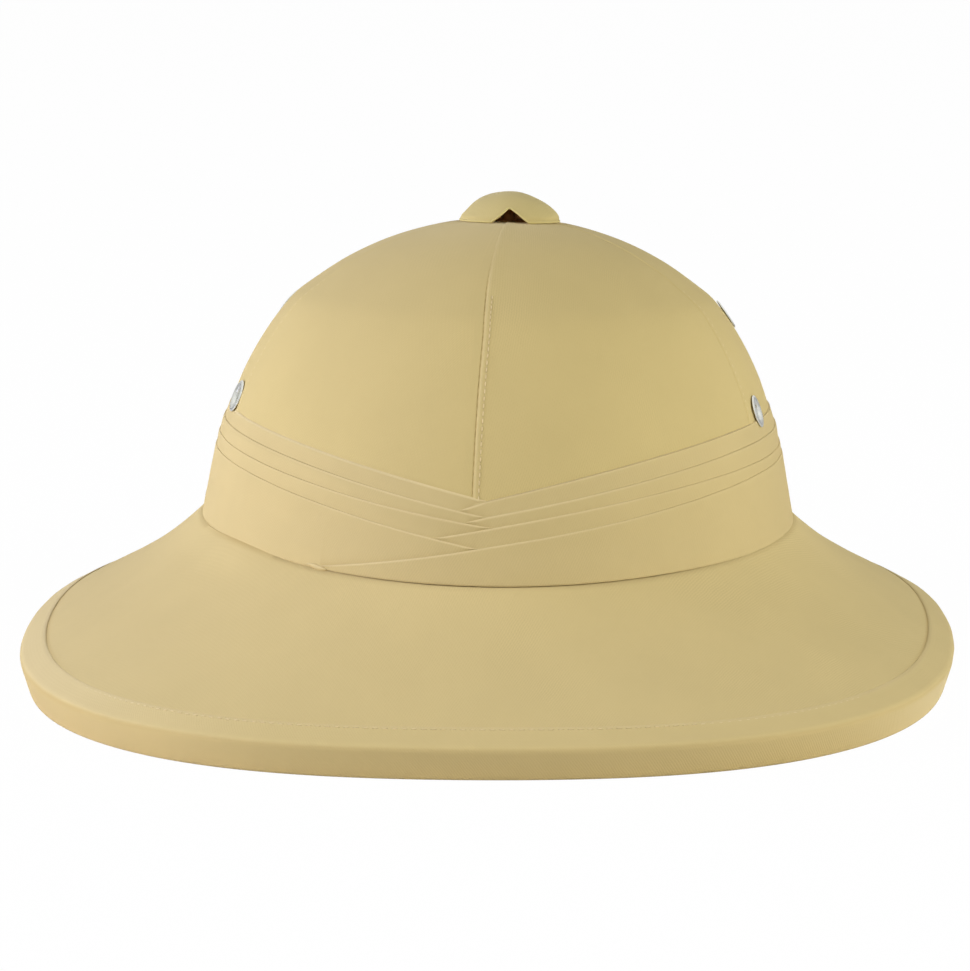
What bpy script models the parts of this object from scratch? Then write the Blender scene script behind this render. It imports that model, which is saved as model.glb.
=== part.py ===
"""Pith helmet: a cloth-covered sun helmet.

A tall domed crown of five gores stands on a wide brim that slopes away all round and turns
down at its lip. A pleated band wraps the crown's foot, a binding covers the rim, four metal
eyelets air the sides, and a small domed cap with notches in its lip covers the top vent.

Frame: +Z up, the wearer's front at -Y, origin on the surface that the rim rests on, under the
middle of the rim. Lengths below are in millimetres and are scaled to metres in the meshes.
"""

import math

import bmesh
import bpy
from mathutils import Matrix, Vector

MM = 0.001
FIT_GAP = 0.3              # clearance between touching pieces

# Crown: outer surface of the shell, as (half width, height above the foot).
CROWN_PROFILE = (
    (93.4, 0.0), (91.2, 12.0), (88.8, 24.0), (85.7, 36.0), (81.4, 48.0), (75.2, 60.0),
    (68.0, 70.0), (62.0, 75.2), (50.0, 83.3), (36.0, 89.9), (20.0, 94.5), (8.0, 95.6),
)
CROWN_LENGTH_RATIO = 1.191     # half length over half width
CROWN_CORNER = 0.020           # how far the plan falls short of an ellipse between its axes
CROWN_WALL = 2.6
CROWN_HEIGHT = 95.6
CROWN_FOOT_Z = 46.4            # height of the foot above the rim's resting plane
SADDLE = 1.8                   # the foot's sides stand this much higher than front and back
SADDLE_REACH = 60.0            # height over which the saddle fades out
GORES = 5
FIRST_SEAM = -2.0              # azimuth of the front seam, degrees
CROWN_COLUMNS = 12 * GORES     # so that a column lies on each seam
INNER_ROWS = (0, 2, 3, 4, 5, 6, 8, 9, 10, 11)   # profile rows that the inside follows

# The crown leans: it rolls a little, drifts sideways and bends back towards the top.
LEAN_REFERENCE = 95.0
ROLL = 0.9                     # degrees
BEND_BACK = 4.7                # degrees at the reference height
DRIFT = (3.01, 0.988, 2.207)   # sideways shift: constant, linear and square terms

# Rim and brim.
RIM_HALF_WIDTH = 146.0         # resting edge of the lip
RIM_HALF_LENGTH = 170.0
RIM_CORNER = -0.07             # the rim's plan is fuller than an ellipse
RIM_TURN = 1.5                 # degrees about Z
LIP_HEIGHT = 10.0
LIP_FLARE = 3.1                # the lip's upper corner stands this far outside its foot
LIP_ROUND = 2.0
BRIM_START_SLOPE = 0.96        # slopes of the brim's curve, over its mean slope
BRIM_END_SLOPE = 1.45
BRIM_WALL = 2.8
BRIM_COLUMNS = 64
BRIM_STEPS = (0.32, 0.48, 0.64, 0.78, 0.9, 1.0)   # rows of the slope inside the margin
MARGIN_ROW = 5                 # row of rim_section's line at the binding's inner edge
UNDER_ROWS = (10, 9, 7, 4)     # rows of that line which the brim's underside follows
LIP_INSIDE_DROP = 2.7          # the lip's inner wall starts this far below the underside

# Binding sewn over the rim.
BINDING_THICK = 1.0
BINDING_PROUD = 0.4
BINDING_MARGIN = 9.8           # width of its top margin
BINDING_INSIDE = 6.0           # how far it runs up inside the lip
LIP_WALL = 2.0                 # brim wall inside the binding's lip

# Band: pleats of each side, as (height at the side, drop at the front crossing).
BAND_SPAN = 80.0               # degrees over which a pleat drops towards the front
BAND_POWER = 1.9
BAND_CROSSING = 1.2            # azimuth where the two sides cross, degrees
BAND_PAST_SLOPE = 0.29         # fall past the crossing, mm per degree
PLEATS_LEFT = ((36.5, 11.9), (31.8, 11.6), (26.5, 9.4), (21.7, 10.3))
PLEATS_RIGHT = ((36.4, 11.5), (31.6, 10.6), (26.1, 9.5), (21.2, 9.3))
BAND_GAP = 0.35
BAND_CLOTH = 0.75              # from the gap to the lowest point of a pleat
PLEAT_STEP = 0.6               # how far each folded edge stands out
PLEAT_FULL = 2.5               # a pleat that shows less than this stands out less
PLEAT_MIN = 0.3                # least height between two edges
PLEAT_EDGE = 0.15              # height of the fold itself
BAND_FOOT = 1.7                # band's outer face over the crown at the foot

# Vent cap and its stud.
CAP_RADIUS = 16.3
CAP_HEIGHT = 9.5
CAP_WALL = 1.5
CAP_LIFT = -0.25               # lip plane over the crown's top point
CAP_NOTCHES = (3.0, 123.0, -117.0)
NOTCH_WIDTH = 12.0
NOTCH_HEIGHT = 4.8
NOTCH_REACH = (8.0, 26.0)      # radii between which a notch's cutter runs
CAP_SEGMENTS = 26
CAP_ROWS = 6
STUD_FLANGE_RADIUS = 12.0
STUD_FLANGE = 1.2
STUD_NECK_RADIUS = 7.3
STUD_POST_RADIUS = 2.6
STUD_SEGMENTS = 18

# Eyelets, as (name, azimuth, height over the foot, lift, tilt). The lower pair laps over the
# band's top edge, so it stands off the crown and leans back over the band.
EYELET_ROWS = (
    ("eyelet_left_lower", -76.7, 40.2, 0.75, 8.0),
    ("eyelet_right_lower", 76.7, 40.2, 0.75, 8.0),
    ("eyelet_left_upper", -103.0, 65.8, 0.0, 0.0),
    ("eyelet_right_upper", 103.0, 65.8, 0.0, 0.0),
)
EYELET_FLANGE_RADIUS = 5.25
EYELET_FLANGE = 0.9
EYELET_BARREL_RADIUS = 2.6
EYELET_BORE_RADIUS = 2.2
EYELET_HOLE_RADIUS = 2.9
EYELET_INNER_RADIUS = 4.0
EYELET_SEGMENTS = 12

CLOTH = (205, 185, 135)
CLOTH_DARK = (189, 171, 118)
METAL = (214, 216, 208)
STUD_METAL = (120, 100, 62)


def linear(rgb):
    """Display colour, 0 to 255, as the linear colour that a shader takes."""
    out = []
    for value in rgb:
        c = value / 255.0
        out.append(c / 12.92 if c <= 0.04045 else ((c + 0.055) / 1.055) ** 2.4)
    return (*out, 1.0)


def make_material(name, rgb, roughness, metallic):
    material = bpy.data.materials.new(name)
    material.use_nodes = True
    shader = material.node_tree.nodes["Principled BSDF"]
    shader.inputs["Base Color"].default_value = linear(rgb)
    shader.inputs["Roughness"].default_value = roughness
    shader.inputs["Metallic"].default_value = metallic
    material.diffuse_color = linear(rgb)
    return material


def finish_mesh(bm, name, material):
    """Close a bmesh into a mesh with outward faces, smooth but for its sharp edges."""
    bmesh.ops.recalc_face_normals(bm, faces=bm.faces)
    mesh = bpy.data.meshes.new(name)
    bm.to_mesh(mesh)
    bm.free()
    mesh.materials.append(material)
    mesh.shade_smooth()
    mesh.set_sharp_from_angle(angle=math.radians(35.0))
    return mesh


def add_object(name, mesh, parent=None):
    obj = bpy.data.objects.new(name, mesh)
    bpy.context.collection.objects.link(obj)
    obj.parent = parent
    return obj


def sweep_sections(name, sections, material):
    """Join closed sections, one for each column round the hat, into one ring-shaped body."""
    bm = bmesh.new()
    loops = []
    for section in sections:
        loops.append([bm.verts.new(Vector(p) * MM) for p in section])
    count = len(loops[0])
    for j, loop in enumerate(loops):
        after = loops[(j + 1) % len(loops)]
        for i in range(count):
            k = (i + 1) % count
            bm.faces.new((loop[i], loop[k], after[k], after[i]))
    return finish_mesh(bm, name, material)


def turn_profile(name, profile, segments, material):
    """Turn a closed (radius, z) outline about Z. Points on the axis become poles."""
    bm = bmesh.new()
    rings = []
    for radius, z in profile:
        if radius <= 0.0:
            rings.append([bm.verts.new((0.0, 0.0, z * MM))])
            continue
        ring = []
        for j in range(segments):
            a = 2.0 * math.pi * j / segments
            ring.append(bm.verts.new((radius * math.cos(a) * MM, radius * math.sin(a) * MM,
                                      z * MM)))
        rings.append(ring)
    pairs = list(zip(rings, rings[1:]))
    if len(rings[0]) > 1:
        pairs.append((rings[-1], rings[0]))
    for low, high in pairs:
        for j in range(segments):
            k = (j + 1) % segments
            corners = []
            for ring, index in ((low, j), (low, k), (high, k), (high, j)):
                vert = ring[index % len(ring)]
                if vert not in corners:
                    corners.append(vert)
            if len(corners) > 2:
                bm.faces.new(corners)
    return finish_mesh(bm, name, material)


def plan_point(azimuth, half_width, half_length, corner):
    """Point of a rounded oval; azimuth 0 is the front and +90 the +X side."""
    a = math.radians(azimuth)
    k = 1.0 - corner * math.sin(2.0 * a) ** 2
    return half_width * k * math.sin(a), -half_length * k * math.cos(a)


def lean(x, y, h):
    """Carry a point of the upright crown to its leaning place."""
    t = h / LEAN_REFERENCE
    bend = math.radians(BEND_BACK) * t * abs(t)
    roll = math.radians(ROLL)
    shift_x = DRIFT[0] + DRIFT[1] * t + DRIFT[2] * t * t
    shift_y = LEAN_REFERENCE * math.radians(BEND_BACK) * t ** 3 / 3.0
    return Vector((
        x * math.cos(roll) + shift_x,
        y * math.cos(bend) + shift_y,
        h - x * math.sin(roll) - y * math.sin(bend) + CROWN_FOOT_Z,
    ))


def crown_radius(h):
    """Half width of the crown's outer surface at a height, straight between the profile rows."""
    rows = CROWN_PROFILE
    for (r0, h0), (r1, h1) in zip(rows, rows[1:]):
        if h <= h1:
            return r0 + (r1 - r0) * (h - h0) / (h1 - h0)
    return rows[-1][0]


def crown_surface(azimuth, h, out=0.0, radius=None):
    """Point on the crown at a height, moved outwards in plan by out."""
    r = crown_radius(h) if radius is None else radius
    return crown_point(azimuth, h, r + out, r * CROWN_LENGTH_RATIO + out)


def crown_point(azimuth, h, half_width, half_length):
    """Point of an oval at a height in the leaning crown, whose foot is slightly saddled."""
    point = lean(*plan_point(azimuth, half_width, half_length, CROWN_CORNER), h)
    fade = max(0.0, 1.0 - h / SADDLE_REACH)
    point.z += SADDLE * fade * math.sin(math.radians(azimuth)) ** 2
    return point


def crown_columns():
    return [FIRST_SEAM + 360.0 * j / CROWN_COLUMNS for j in range(CROWN_COLUMNS)]


def offset_line(points, distance):
    """Move an open 2-D line sideways, to its right, with mitred corners."""
    moved = []
    for i, (x, y) in enumerate(points):
        sides = []
        for a, b in ((i - 1, i), (i, i + 1)):
            if a < 0 or b >= len(points):
                continue
            dx = points[b][0] - points[a][0]
            dy = points[b][1] - points[a][1]
            length = math.hypot(dx, dy)
            sides.append((dy / length, -dx / length))
        nx = sum(s[0] for s in sides)
        ny = sum(s[1] for s in sides)
        scale = distance * len(sides) / (nx * nx + ny * ny)
        moved.append((x + nx * scale, y + ny * scale))
    return moved


def build_crown(material):
    """Domed shell with an open foot, a vent hole on top and four eyelet holes."""
    inner = offset_line(CROWN_PROFILE, -CROWN_WALL)
    inner[0] = (CROWN_PROFILE[0][0] - CROWN_WALL, 0.0)
    inner[-1] = (CROWN_PROFILE[-1][0], CROWN_PROFILE[-1][1] - CROWN_WALL)
    ratio = CROWN_LENGTH_RATIO
    sections = []
    for azimuth in crown_columns():
        section = [crown_surface(azimuth, h, 0.0, r) for r, h in CROWN_PROFILE]
        for row in reversed(INNER_ROWS):
            r, h = inner[row]
            outer_r = CROWN_PROFILE[row][0]
            section.append(crown_point(azimuth, h, r, outer_r * ratio - (outer_r - r)))
        sections.append(section)
    crown = add_object("crown", sweep_sections("crown", sections, material))
    for name, azimuth, height, lift, tilt in EYELET_ROWS:
        bpy.ops.mesh.primitive_cylinder_add(vertices=EYELET_SEGMENTS,
                                            radius=EYELET_HOLE_RADIUS * MM, depth=14.0 * MM)
        cutter = bpy.context.object
        cutter.name = "cut_" + name
        cutter.matrix_world = eyelet_matrix(azimuth, height, 0.0, tilt)
        cutter.hide_render = True
        cutter.display_type = "WIRE"
        cut = crown.modifiers.new("hole_" + name, "BOOLEAN")
        cut.operation = "DIFFERENCE"
        cut.solver = "EXACT"
        cut.object = cutter
    return crown


def eyelet_matrix(azimuth, height, lift, tilt):
    """Frame on the crown's surface: X along the hat, Y up the wall and Z outwards."""
    centre = crown_surface(azimuth, height)
    along = (crown_surface(azimuth + 1.0, height)
             - crown_surface(azimuth - 1.0, height)).normalized()
    up = crown_surface(azimuth, height + 2.0) - crown_surface(azimuth, height - 2.0)
    out = along.cross(up).normalized()
    up = out.cross(along).normalized()
    frame = Matrix((along, up, out)).transposed().to_4x4()
    frame.translation = (centre + out * lift) * MM
    return frame @ Matrix.Rotation(math.radians(-tilt), 4, "X")


def rim_section(azimuth):
    """Outer line of the rim and brim in one column, from the lip's foot to the crown's foot.

    It is drawn in a plane, as (inward distance from the lip's corner, z). The start and the
    direction of that plane come with it."""
    turn = Matrix.Rotation(math.radians(RIM_TURN), 2)
    foot = turn @ Vector(plan_point(azimuth, RIM_HALF_WIDTH, RIM_HALF_LENGTH, RIM_CORNER))
    corner = turn @ Vector(plan_point(azimuth, RIM_HALF_WIDTH + LIP_FLARE,
                                      RIM_HALF_LENGTH + LIP_FLARE, RIM_CORNER))
    top = crown_surface(azimuth, 0.0, BAND_FOOT)
    inward = (top.xy - corner).normalized()
    run = (top.xy - corner).length
    rise = top.z - LIP_HEIGHT
    tuck = (foot - corner).dot(inward)

    def slope_line(t):
        g = (t ** 3 - 2 * t ** 2 + t) * BRIM_START_SLOPE
        g += -2 * t ** 3 + 3 * t ** 2 + (t ** 3 - t ** 2) * BRIM_END_SLOPE
        return run * t, LIP_HEIGHT + rise * g

    lean_in = tuck / LIP_HEIGHT
    below = LIP_HEIGHT - 0.85 * LIP_ROUND
    line = [(tuck, 0.0), (lean_in * (LIP_HEIGHT - below), below), (0.33 * LIP_ROUND, LIP_HEIGHT)]
    line.append(slope_line(LIP_ROUND / run))
    margin = BINDING_MARGIN / math.hypot(1.0, rise / run * BRIM_START_SLOPE) / run
    line.append(slope_line(margin * 0.6))
    line.append(slope_line(margin))
    for t in BRIM_STEPS:
        line.append(slope_line(t))
    return line, corner, inward


def place(point, start, inward):
    """Carry a point of a column's plane to its place in the hat."""
    return (start.x + inward.x * point[0], start.y + inward.y * point[0], point[1])


def lip_cut(line, z):
    """Point at height z on the straight line through a line's first two points."""
    (x0, y0), (x1, y1) = line[0], line[1]
    return x0 + (x1 - x0) * (z - y0) / (y1 - y0), z


def build_brim(material):
    """Sloping brim shell: ledge under the crown's foot, slope and turned-down lip."""
    cover_depth = BINDING_PROUD
    seat_depth = BINDING_THICK + FIT_GAP
    sections = []
    for j in range(BRIM_COLUMNS):
        azimuth = 360.0 * j / BRIM_COLUMNS
        line, start, inward = rim_section(azimuth)
        cover = offset_line(line, cover_depth)
        seat = offset_line(line, seat_depth)
        under = offset_line(line, cover_depth + BRIM_WALL)
        inside = offset_line(line[:2], seat_depth + LIP_WALL)
        edge = MARGIN_ROW
        dx = line[edge + 1][0] - line[edge][0]
        dz = line[edge + 1][1] - line[edge][1]
        length = math.hypot(dx, dz)
        section = [lip_cut(seat, seat_depth)] + seat[1:edge]
        for depth in (seat_depth, cover_depth):
            section.append((line[edge][0] + (dx * FIT_GAP + dz * depth) / length,
                            line[edge][1] + (dz * FIT_GAP - dx * depth) / length))
        section += cover[edge + 1:]
        placed = [place(p, start, inward) for p in section]
        inner = crown_radius(0.0) - CROWN_WALL
        longer = CROWN_PROFILE[0][0] * (CROWN_LENGTH_RATIO - 1.0)
        for h in (-FIT_GAP, -FIT_GAP - BRIM_WALL):
            placed.append(crown_point(azimuth, h, inner, inner + longer))
        below = [under[row] for row in UNDER_ROWS]
        below.append(lip_cut(inside, below[-1][1] - LIP_INSIDE_DROP))
        below.append(lip_cut(inside, seat_depth))
        placed += [place(p, start, inward) for p in below]
        sections.append(placed)
    return add_object("brim", sweep_sections("brim", sections, material))


def build_binding(material):
    """Strip folded over the rim: top margin, lip, resting edge and a short inner leg."""
    inner_face = 2.0 * (BINDING_THICK + FIT_GAP) + LIP_WALL
    sections = []
    for j in range(BRIM_COLUMNS):
        line, start, inward = rim_section(360.0 * j / BRIM_COLUMNS)
        outer = line[:MARGIN_ROW + 1]
        back = offset_line(line, BINDING_THICK)[:MARGIN_ROW + 1]
        leg_out = offset_line(line[:2], inner_face - BINDING_THICK)
        leg_in = offset_line(line[:2], inner_face)
        section = [lip_cut(leg_in, 0.0)] + outer
        section += list(reversed(back[1:])) + [lip_cut(back, BINDING_THICK)]
        section += [lip_cut(leg_out, BINDING_THICK), lip_cut(leg_out, BINDING_INSIDE),
                    lip_cut(leg_in, BINDING_INSIDE)]
        sections.append([place(p, start, inward) for p in section])
    return add_object("brim_binding", sweep_sections("brim_binding", sections, material))


def pleat_height(azimuth, row, side):
    """Height of one pleat's folded edge; side is +1 for the +X side and -1 for the other."""
    height, drop = row
    around = (azimuth + 180.0) % 360.0 - 180.0
    along = side * (around - BAND_CROSSING)
    if along < 0.0:
        return height - drop + BAND_PAST_SLOPE * along
    return height - drop * max(0.0, 1.0 - along / BAND_SPAN) ** BAND_POWER


def band_edges(azimuth):
    """Heights of the eight folded edges in one column, from the top one down."""
    around = (azimuth + 180.0) % 360.0 - 180.0
    left = [pleat_height(azimuth, row, -1.0) for row in PLEATS_LEFT]
    right = [pleat_height(azimuth, row, 1.0) for row in PLEATS_RIGHT]
    edges = []
    for k in range(4):
        if around > BAND_CROSSING:
            edges += [right[k], right[k] - PLEAT_MIN]
            continue
        under = left[k + 1] if k < 3 else 1.0
        edges += [left[k], min(max(right[k], under + PLEAT_MIN), left[k] - PLEAT_MIN)]
    return edges


def build_band(material):
    """Pleated band: each pleat's folded edge points up and stands out over the one above."""
    sections = []
    for azimuth in crown_columns():
        edges = band_edges(azimuth)
        base = BAND_GAP + BAND_CLOTH
        section = [crown_surface(azimuth, edges[0], base)]
        for k, edge in enumerate(edges):
            below = edges[k + 1] if k < 7 else 0.0
            step = PLEAT_STEP * min(1.0, (edge - below) / PLEAT_FULL)
            if k:
                section.append(crown_surface(azimuth, edge, base))
            low = edge - min(PLEAT_EDGE, 0.5 * (edge - below))
            section.append(crown_surface(azimuth, low, base + step))
        section.append(crown_surface(azimuth, 0.0, BAND_FOOT))
        for part in (0.0, 0.33, 0.67, 1.0):
            section.append(crown_surface(azimuth, part * edges[0], BAND_GAP))
        sections.append(section)
    return add_object("pugaree", sweep_sections("pugaree", sections, material))


def top_frame():
    """Empty at the crown's top point, tilted with the crown."""
    frame = bpy.data.objects.new("crown_top", None)
    bpy.context.collection.objects.link(frame)
    frame.location = lean(0.0, 0.0, CROWN_HEIGHT) * MM
    frame.rotation_euler = (math.radians(-BEND_BACK), math.radians(ROLL), 0.0)
    frame.empty_display_size = 0.01
    return frame


def build_cap(parent, material):
    """Hollow domed cap with three V-shaped notches in its lip."""
    outline = []
    for radius, height, order in ((CAP_RADIUS, CAP_HEIGHT, 1),
                                  (CAP_RADIUS - CAP_WALL, CAP_HEIGHT - CAP_WALL, -1)):
        arc = []
        for i in range(CAP_ROWS + 1):
            a = math.radians(90.0 * i / CAP_ROWS)
            arc.append((radius * math.sin(a) if i else 0.0, CAP_LIFT + height * math.cos(a)))
        outline += arc[::order]
    cap = add_object("vent_cap", turn_profile("vent_cap", outline, CAP_SEGMENTS, material),
                     parent)
    bm = bmesh.new()
    low, high = CAP_LIFT - 2.0, CAP_LIFT + NOTCH_HEIGHT
    half = 0.5 * NOTCH_WIDTH * (high - low) / NOTCH_HEIGHT
    for azimuth in CAP_NOTCHES:
        turn = Matrix.Rotation(math.radians(azimuth), 4, "Z")
        ends = []
        for reach in NOTCH_REACH:
            wedge = ((-half, low), (half, low), (0.0, high))
            ends.append([bm.verts.new(turn @ (Vector((x, -reach, z)) * MM)) for x, z in wedge])
        bm.faces.new(ends[0])
        bm.faces.new(ends[1])
        for i in range(3):
            k = (i + 1) % 3
            bm.faces.new((ends[0][i], ends[0][k], ends[1][k], ends[1][i]))
    cutter = add_object("cut_cap_notches", finish_mesh(bm, "cut_cap_notches", material), parent)
    cutter.hide_render = True
    cutter.display_type = "WIRE"
    cut = cap.modifiers.new("notches", "BOOLEAN")
    cut.operation = "DIFFERENCE"
    cut.solver = "EXACT"
    cut.object = cutter
    return cap


def build_stud(parent, material):
    """Plug that carries the cap: flange inside the crown, neck in the vent hole and a post."""
    flange_top = -CROWN_WALL - 1.0
    neck_top = 0.3
    post_top = CAP_LIFT + CAP_HEIGHT - CAP_WALL - FIT_GAP
    outline = (
        (0.0, post_top), (STUD_POST_RADIUS, post_top), (STUD_POST_RADIUS, neck_top),
        (STUD_NECK_RADIUS, neck_top), (STUD_NECK_RADIUS, flange_top),
        (STUD_FLANGE_RADIUS, flange_top), (STUD_FLANGE_RADIUS, flange_top - STUD_FLANGE),
        (0.0, flange_top - STUD_FLANGE),
    )
    mesh = turn_profile("cap_stud", outline, STUD_SEGMENTS, material)
    return add_object("cap_stud", mesh, parent)


def eyelet_mesh(name, grip, material):
    """Spool: domed outer flange, barrel through the wall and a clinched inner flange."""
    base = FIT_GAP
    crest = base + EYELET_FLANGE
    middle = 0.5 * (EYELET_FLANGE_RADIUS + EYELET_BORE_RADIUS)
    clinch = -grip - FIT_GAP
    outline = (
        (EYELET_FLANGE_RADIUS, base), (EYELET_FLANGE_RADIUS - 0.2, base + 0.45),
        (middle + 0.4, crest), (EYELET_BORE_RADIUS + 0.5, crest - 0.1),
        (EYELET_BORE_RADIUS, base), (EYELET_BORE_RADIUS, clinch - 0.5),
        (EYELET_INNER_RADIUS, clinch - 0.5), (EYELET_INNER_RADIUS, clinch),
        (EYELET_BARREL_RADIUS, clinch), (EYELET_BARREL_RADIUS, base),
    )
    return turn_profile(name, outline, EYELET_SEGMENTS, material)


def build_eyelets(material):
    """Four eyelets; the two of a pair share one mesh."""
    meshes = {}
    eyelets = []
    for name, azimuth, height, lift, tilt in EYELET_ROWS:
        if lift not in meshes:
            play = EYELET_INNER_RADIUS * math.sin(math.radians(tilt)) + 0.2
            meshes[lift] = eyelet_mesh(name, CROWN_WALL + lift + play, material)
        eyelet = add_object(name, meshes[lift])
        eyelet.matrix_world = eyelet_matrix(azimuth, height, lift, tilt)
        eyelets.append(eyelet)
    return eyelets


def clear_scene():
    for obj in list(bpy.context.scene.objects):
        bpy.data.objects.remove(obj, do_unlink=True)


def main():
    clear_scene()
    twill = make_material("khaki_twill", CLOTH, 0.9, 0.0)
    brim_twill = make_material("brim_twill", CLOTH, 0.9, 0.0)
    binding_twill = make_material("binding_twill", CLOTH_DARK, 0.9, 0.0)
    band_twill = make_material("band_twill", CLOTH, 0.9, 0.0)
    cap_twill = make_material("cap_twill", CLOTH_DARK, 0.9, 0.0)
    metal = make_material("eyelet_metal", METAL, 0.28, 1.0)
    stud_metal = make_material("stud_metal", STUD_METAL, 0.5, 1.0)
    build_crown(twill)
    build_brim(brim_twill)
    build_binding(binding_twill)
    build_band(band_twill)
    top = top_frame()
    build_cap(top, cap_twill)
    build_stud(top, stud_metal)
    build_eyelets(metal)


main()
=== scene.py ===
"""Cloth, stitching, pleats and metalwork of a pith helmet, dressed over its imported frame.

Lengths are in millimetres unless a name says otherwise, and are scaled to metres in the meshes.
Azimuth 0 is the hat's front, -Y, and azimuth 90 its +X side. h is a height over the crown's foot.
"""

import bisect
import math

import bmesh
import bpy
from mathutils import Matrix, Vector, noise


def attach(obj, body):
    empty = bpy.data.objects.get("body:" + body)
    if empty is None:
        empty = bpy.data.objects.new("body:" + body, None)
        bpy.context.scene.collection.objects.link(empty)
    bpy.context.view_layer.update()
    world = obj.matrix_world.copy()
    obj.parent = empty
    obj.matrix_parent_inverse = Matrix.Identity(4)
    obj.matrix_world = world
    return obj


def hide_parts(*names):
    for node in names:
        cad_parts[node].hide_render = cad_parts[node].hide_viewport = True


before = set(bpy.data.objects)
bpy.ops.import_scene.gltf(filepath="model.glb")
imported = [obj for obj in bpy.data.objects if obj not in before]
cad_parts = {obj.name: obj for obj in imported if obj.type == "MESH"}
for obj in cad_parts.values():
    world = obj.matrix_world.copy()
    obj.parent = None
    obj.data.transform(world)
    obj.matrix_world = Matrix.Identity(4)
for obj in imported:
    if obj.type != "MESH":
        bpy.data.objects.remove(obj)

bl_info = {
    "name": "Pith Helmet Dressing",
    "version": (1, 0, 0),
    "blender": (4, 5, 0),
    "location": "View3D > Sidebar > Pith Helmet",
    "description": "Builds the cloth cover, pleated band, vent cap and eyelets of a pith helmet",
    "category": "Object",
}

MM = 0.001
BODY = "root"

# Shape of the hat, the same as its frame's. The profile's points are (half width, height).
CROWN_PROFILE = (
    (93.4, 0.0), (91.2, 12.0), (88.8, 24.0), (85.7, 36.0), (81.4, 48.0), (75.2, 60.0),
    (68.0, 70.0), (62.0, 75.2), (50.0, 83.3), (36.0, 89.9), (20.0, 94.5), (8.0, 95.6),
)
CROWN_LENGTH_RATIO = 1.191     # length of the crown's plan over its width
CROWN_CORNER = 0.020           # how far the plan is drawn in between its sides and ends
CROWN_WALL = 2.6
CROWN_HEIGHT = 95.6
CROWN_FOOT_Z = 46.4
SADDLE, SADDLE_REACH = 1.8, 60.0   # how much higher the foot lies at the sides, and up to where
GORES = 5
FIRST_SEAM = -2.0
LEAN_REFERENCE = 95.0          # height where the crown leans back by BEND_BACK
ROLL, BEND_BACK = 0.9, 4.7     # lean to the +X side and to the back, in degrees
DRIFT = (3.01, 0.988, 2.207)   # shift to the +X side, by powers of the height

RIM_HALF_WIDTH, RIM_HALF_LENGTH = 146.0, 170.0
RIM_CORNER, RIM_TURN = -0.07, 1.5
LIP_HEIGHT, LIP_FLARE = 10.0, 3.1
BRIM_START_SLOPE, BRIM_END_SLOPE = 0.96, 1.45
BRIM_WALL = 2.8
BINDING_THICK, BINDING_PROUD = 1.0, 0.4
BINDING_MARGIN = 9.8
LIP_WALL = 2.0
FIT_GAP = 0.3

BAND_SPAN, BAND_CROSSING = 80.0, 1.2   # azimuths over which the pleats drop, and their middle
# Distances from the crown: the band's inner face, and its outer one above and at the foot.
BAND_GAP, BAND_BASE, BAND_FOOT = 0.35, 0.85, 1.7

# Fold of each pleat from the top one down: its height at the side of the hat, how far it drops
# towards the front, and how late it drops. Past the crossing a right pleat falls by PAST_SLOPES,
# in millimetres per degree.
PLEATS_LEFT = ((36.6, 12.4, 2.2), (32.1, 12.4, 2.0), (27.3, 10.3, 1.8), (22.8, 12.6, 1.97))
PLEATS_RIGHT = ((37.2, 12.9, 2.24), (31.9, 12.0, 2.0), (25.9, 9.4, 2.5), (22.6, 11.3, 1.78))
PAST_SLOPES = (0.50, 0.39, 0.32, 0.31)
BAND_END = (-35.3, -30.4)      # azimuths of the lowest right pleat's bunched end
# Rows of a folded edge, and of the band's rounded top edge: how far down, how far in, and how
# much painted highlight and painted shade each one gets.
FOLD_EDGE = ((1.0, 0.0, 0.5, 0.0), (0.55, 0.02, 1.0, 0.0), (0.2, 0.12, 1.0, 0.0),
             (0.05, 0.4, 0.8, 0.0), (0.0, 0.8, 0.3, 0.5), (0.0, 1.0, 0.0, 1.0))
TOP_EDGE = ((1.6, 0.0, 0.3, 0.0), (1.1, 0.08, 0.6, 0.0), (0.75, 0.22, 0.9, 0.0),
            (0.45, 0.42, 1.2, 0.0), (0.2, 0.68, 1.4, 0.0), (0.05, 0.9, 1.4, 0.0))
DENT_AZIMUTH = 76.7            # where an eyelet presses on the band's top edge

CAP_RADIUS, CAP_HEIGHT, CAP_WALL, CAP_LIFT = 16.3, 9.5, 1.5, -0.25
CAP_NOTCHES = (3.0, 123.0, -117.0)
CAP_FULLNESS, CAP_SHIFT = 0.68, 0.3
# Half of a notch's outline, from under the lip to its apex, as (distance aside, height).
NOTCH_LINE = ((8.8, -2.0), (1.0, 4.3), (0.0, 4.9))
NOTCH_SKEW = -0.45
NOTCH_REACH = (-7.0, -26.0)    # from where to where a notch's cutter runs outwards
HEM_RADIUS, HEM_LIFT, HEM_STEPS = 0.36, 0.3, 48

# Name, azimuth, height, lift, tilt up and turn towards a higher azimuth of each eyelet.
EYELET_ROWS = (
    ("eyelet_left_lower", -76.7, 40.2, 0.3, 2.0, 3.0),
    ("eyelet_right_lower", 76.2, 39.5, -0.03, 1.0, 4.0),
    ("eyelet_left_upper", -103.0, 65.8, 0.45, 0.0, 0.0),
    ("eyelet_right_upper", 103.0, 64.8, 0.5, 0.0, -4.5),
)
EYELET_HOLE_RADIUS, EYELET_BORE = 2.9, 2.2
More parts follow.
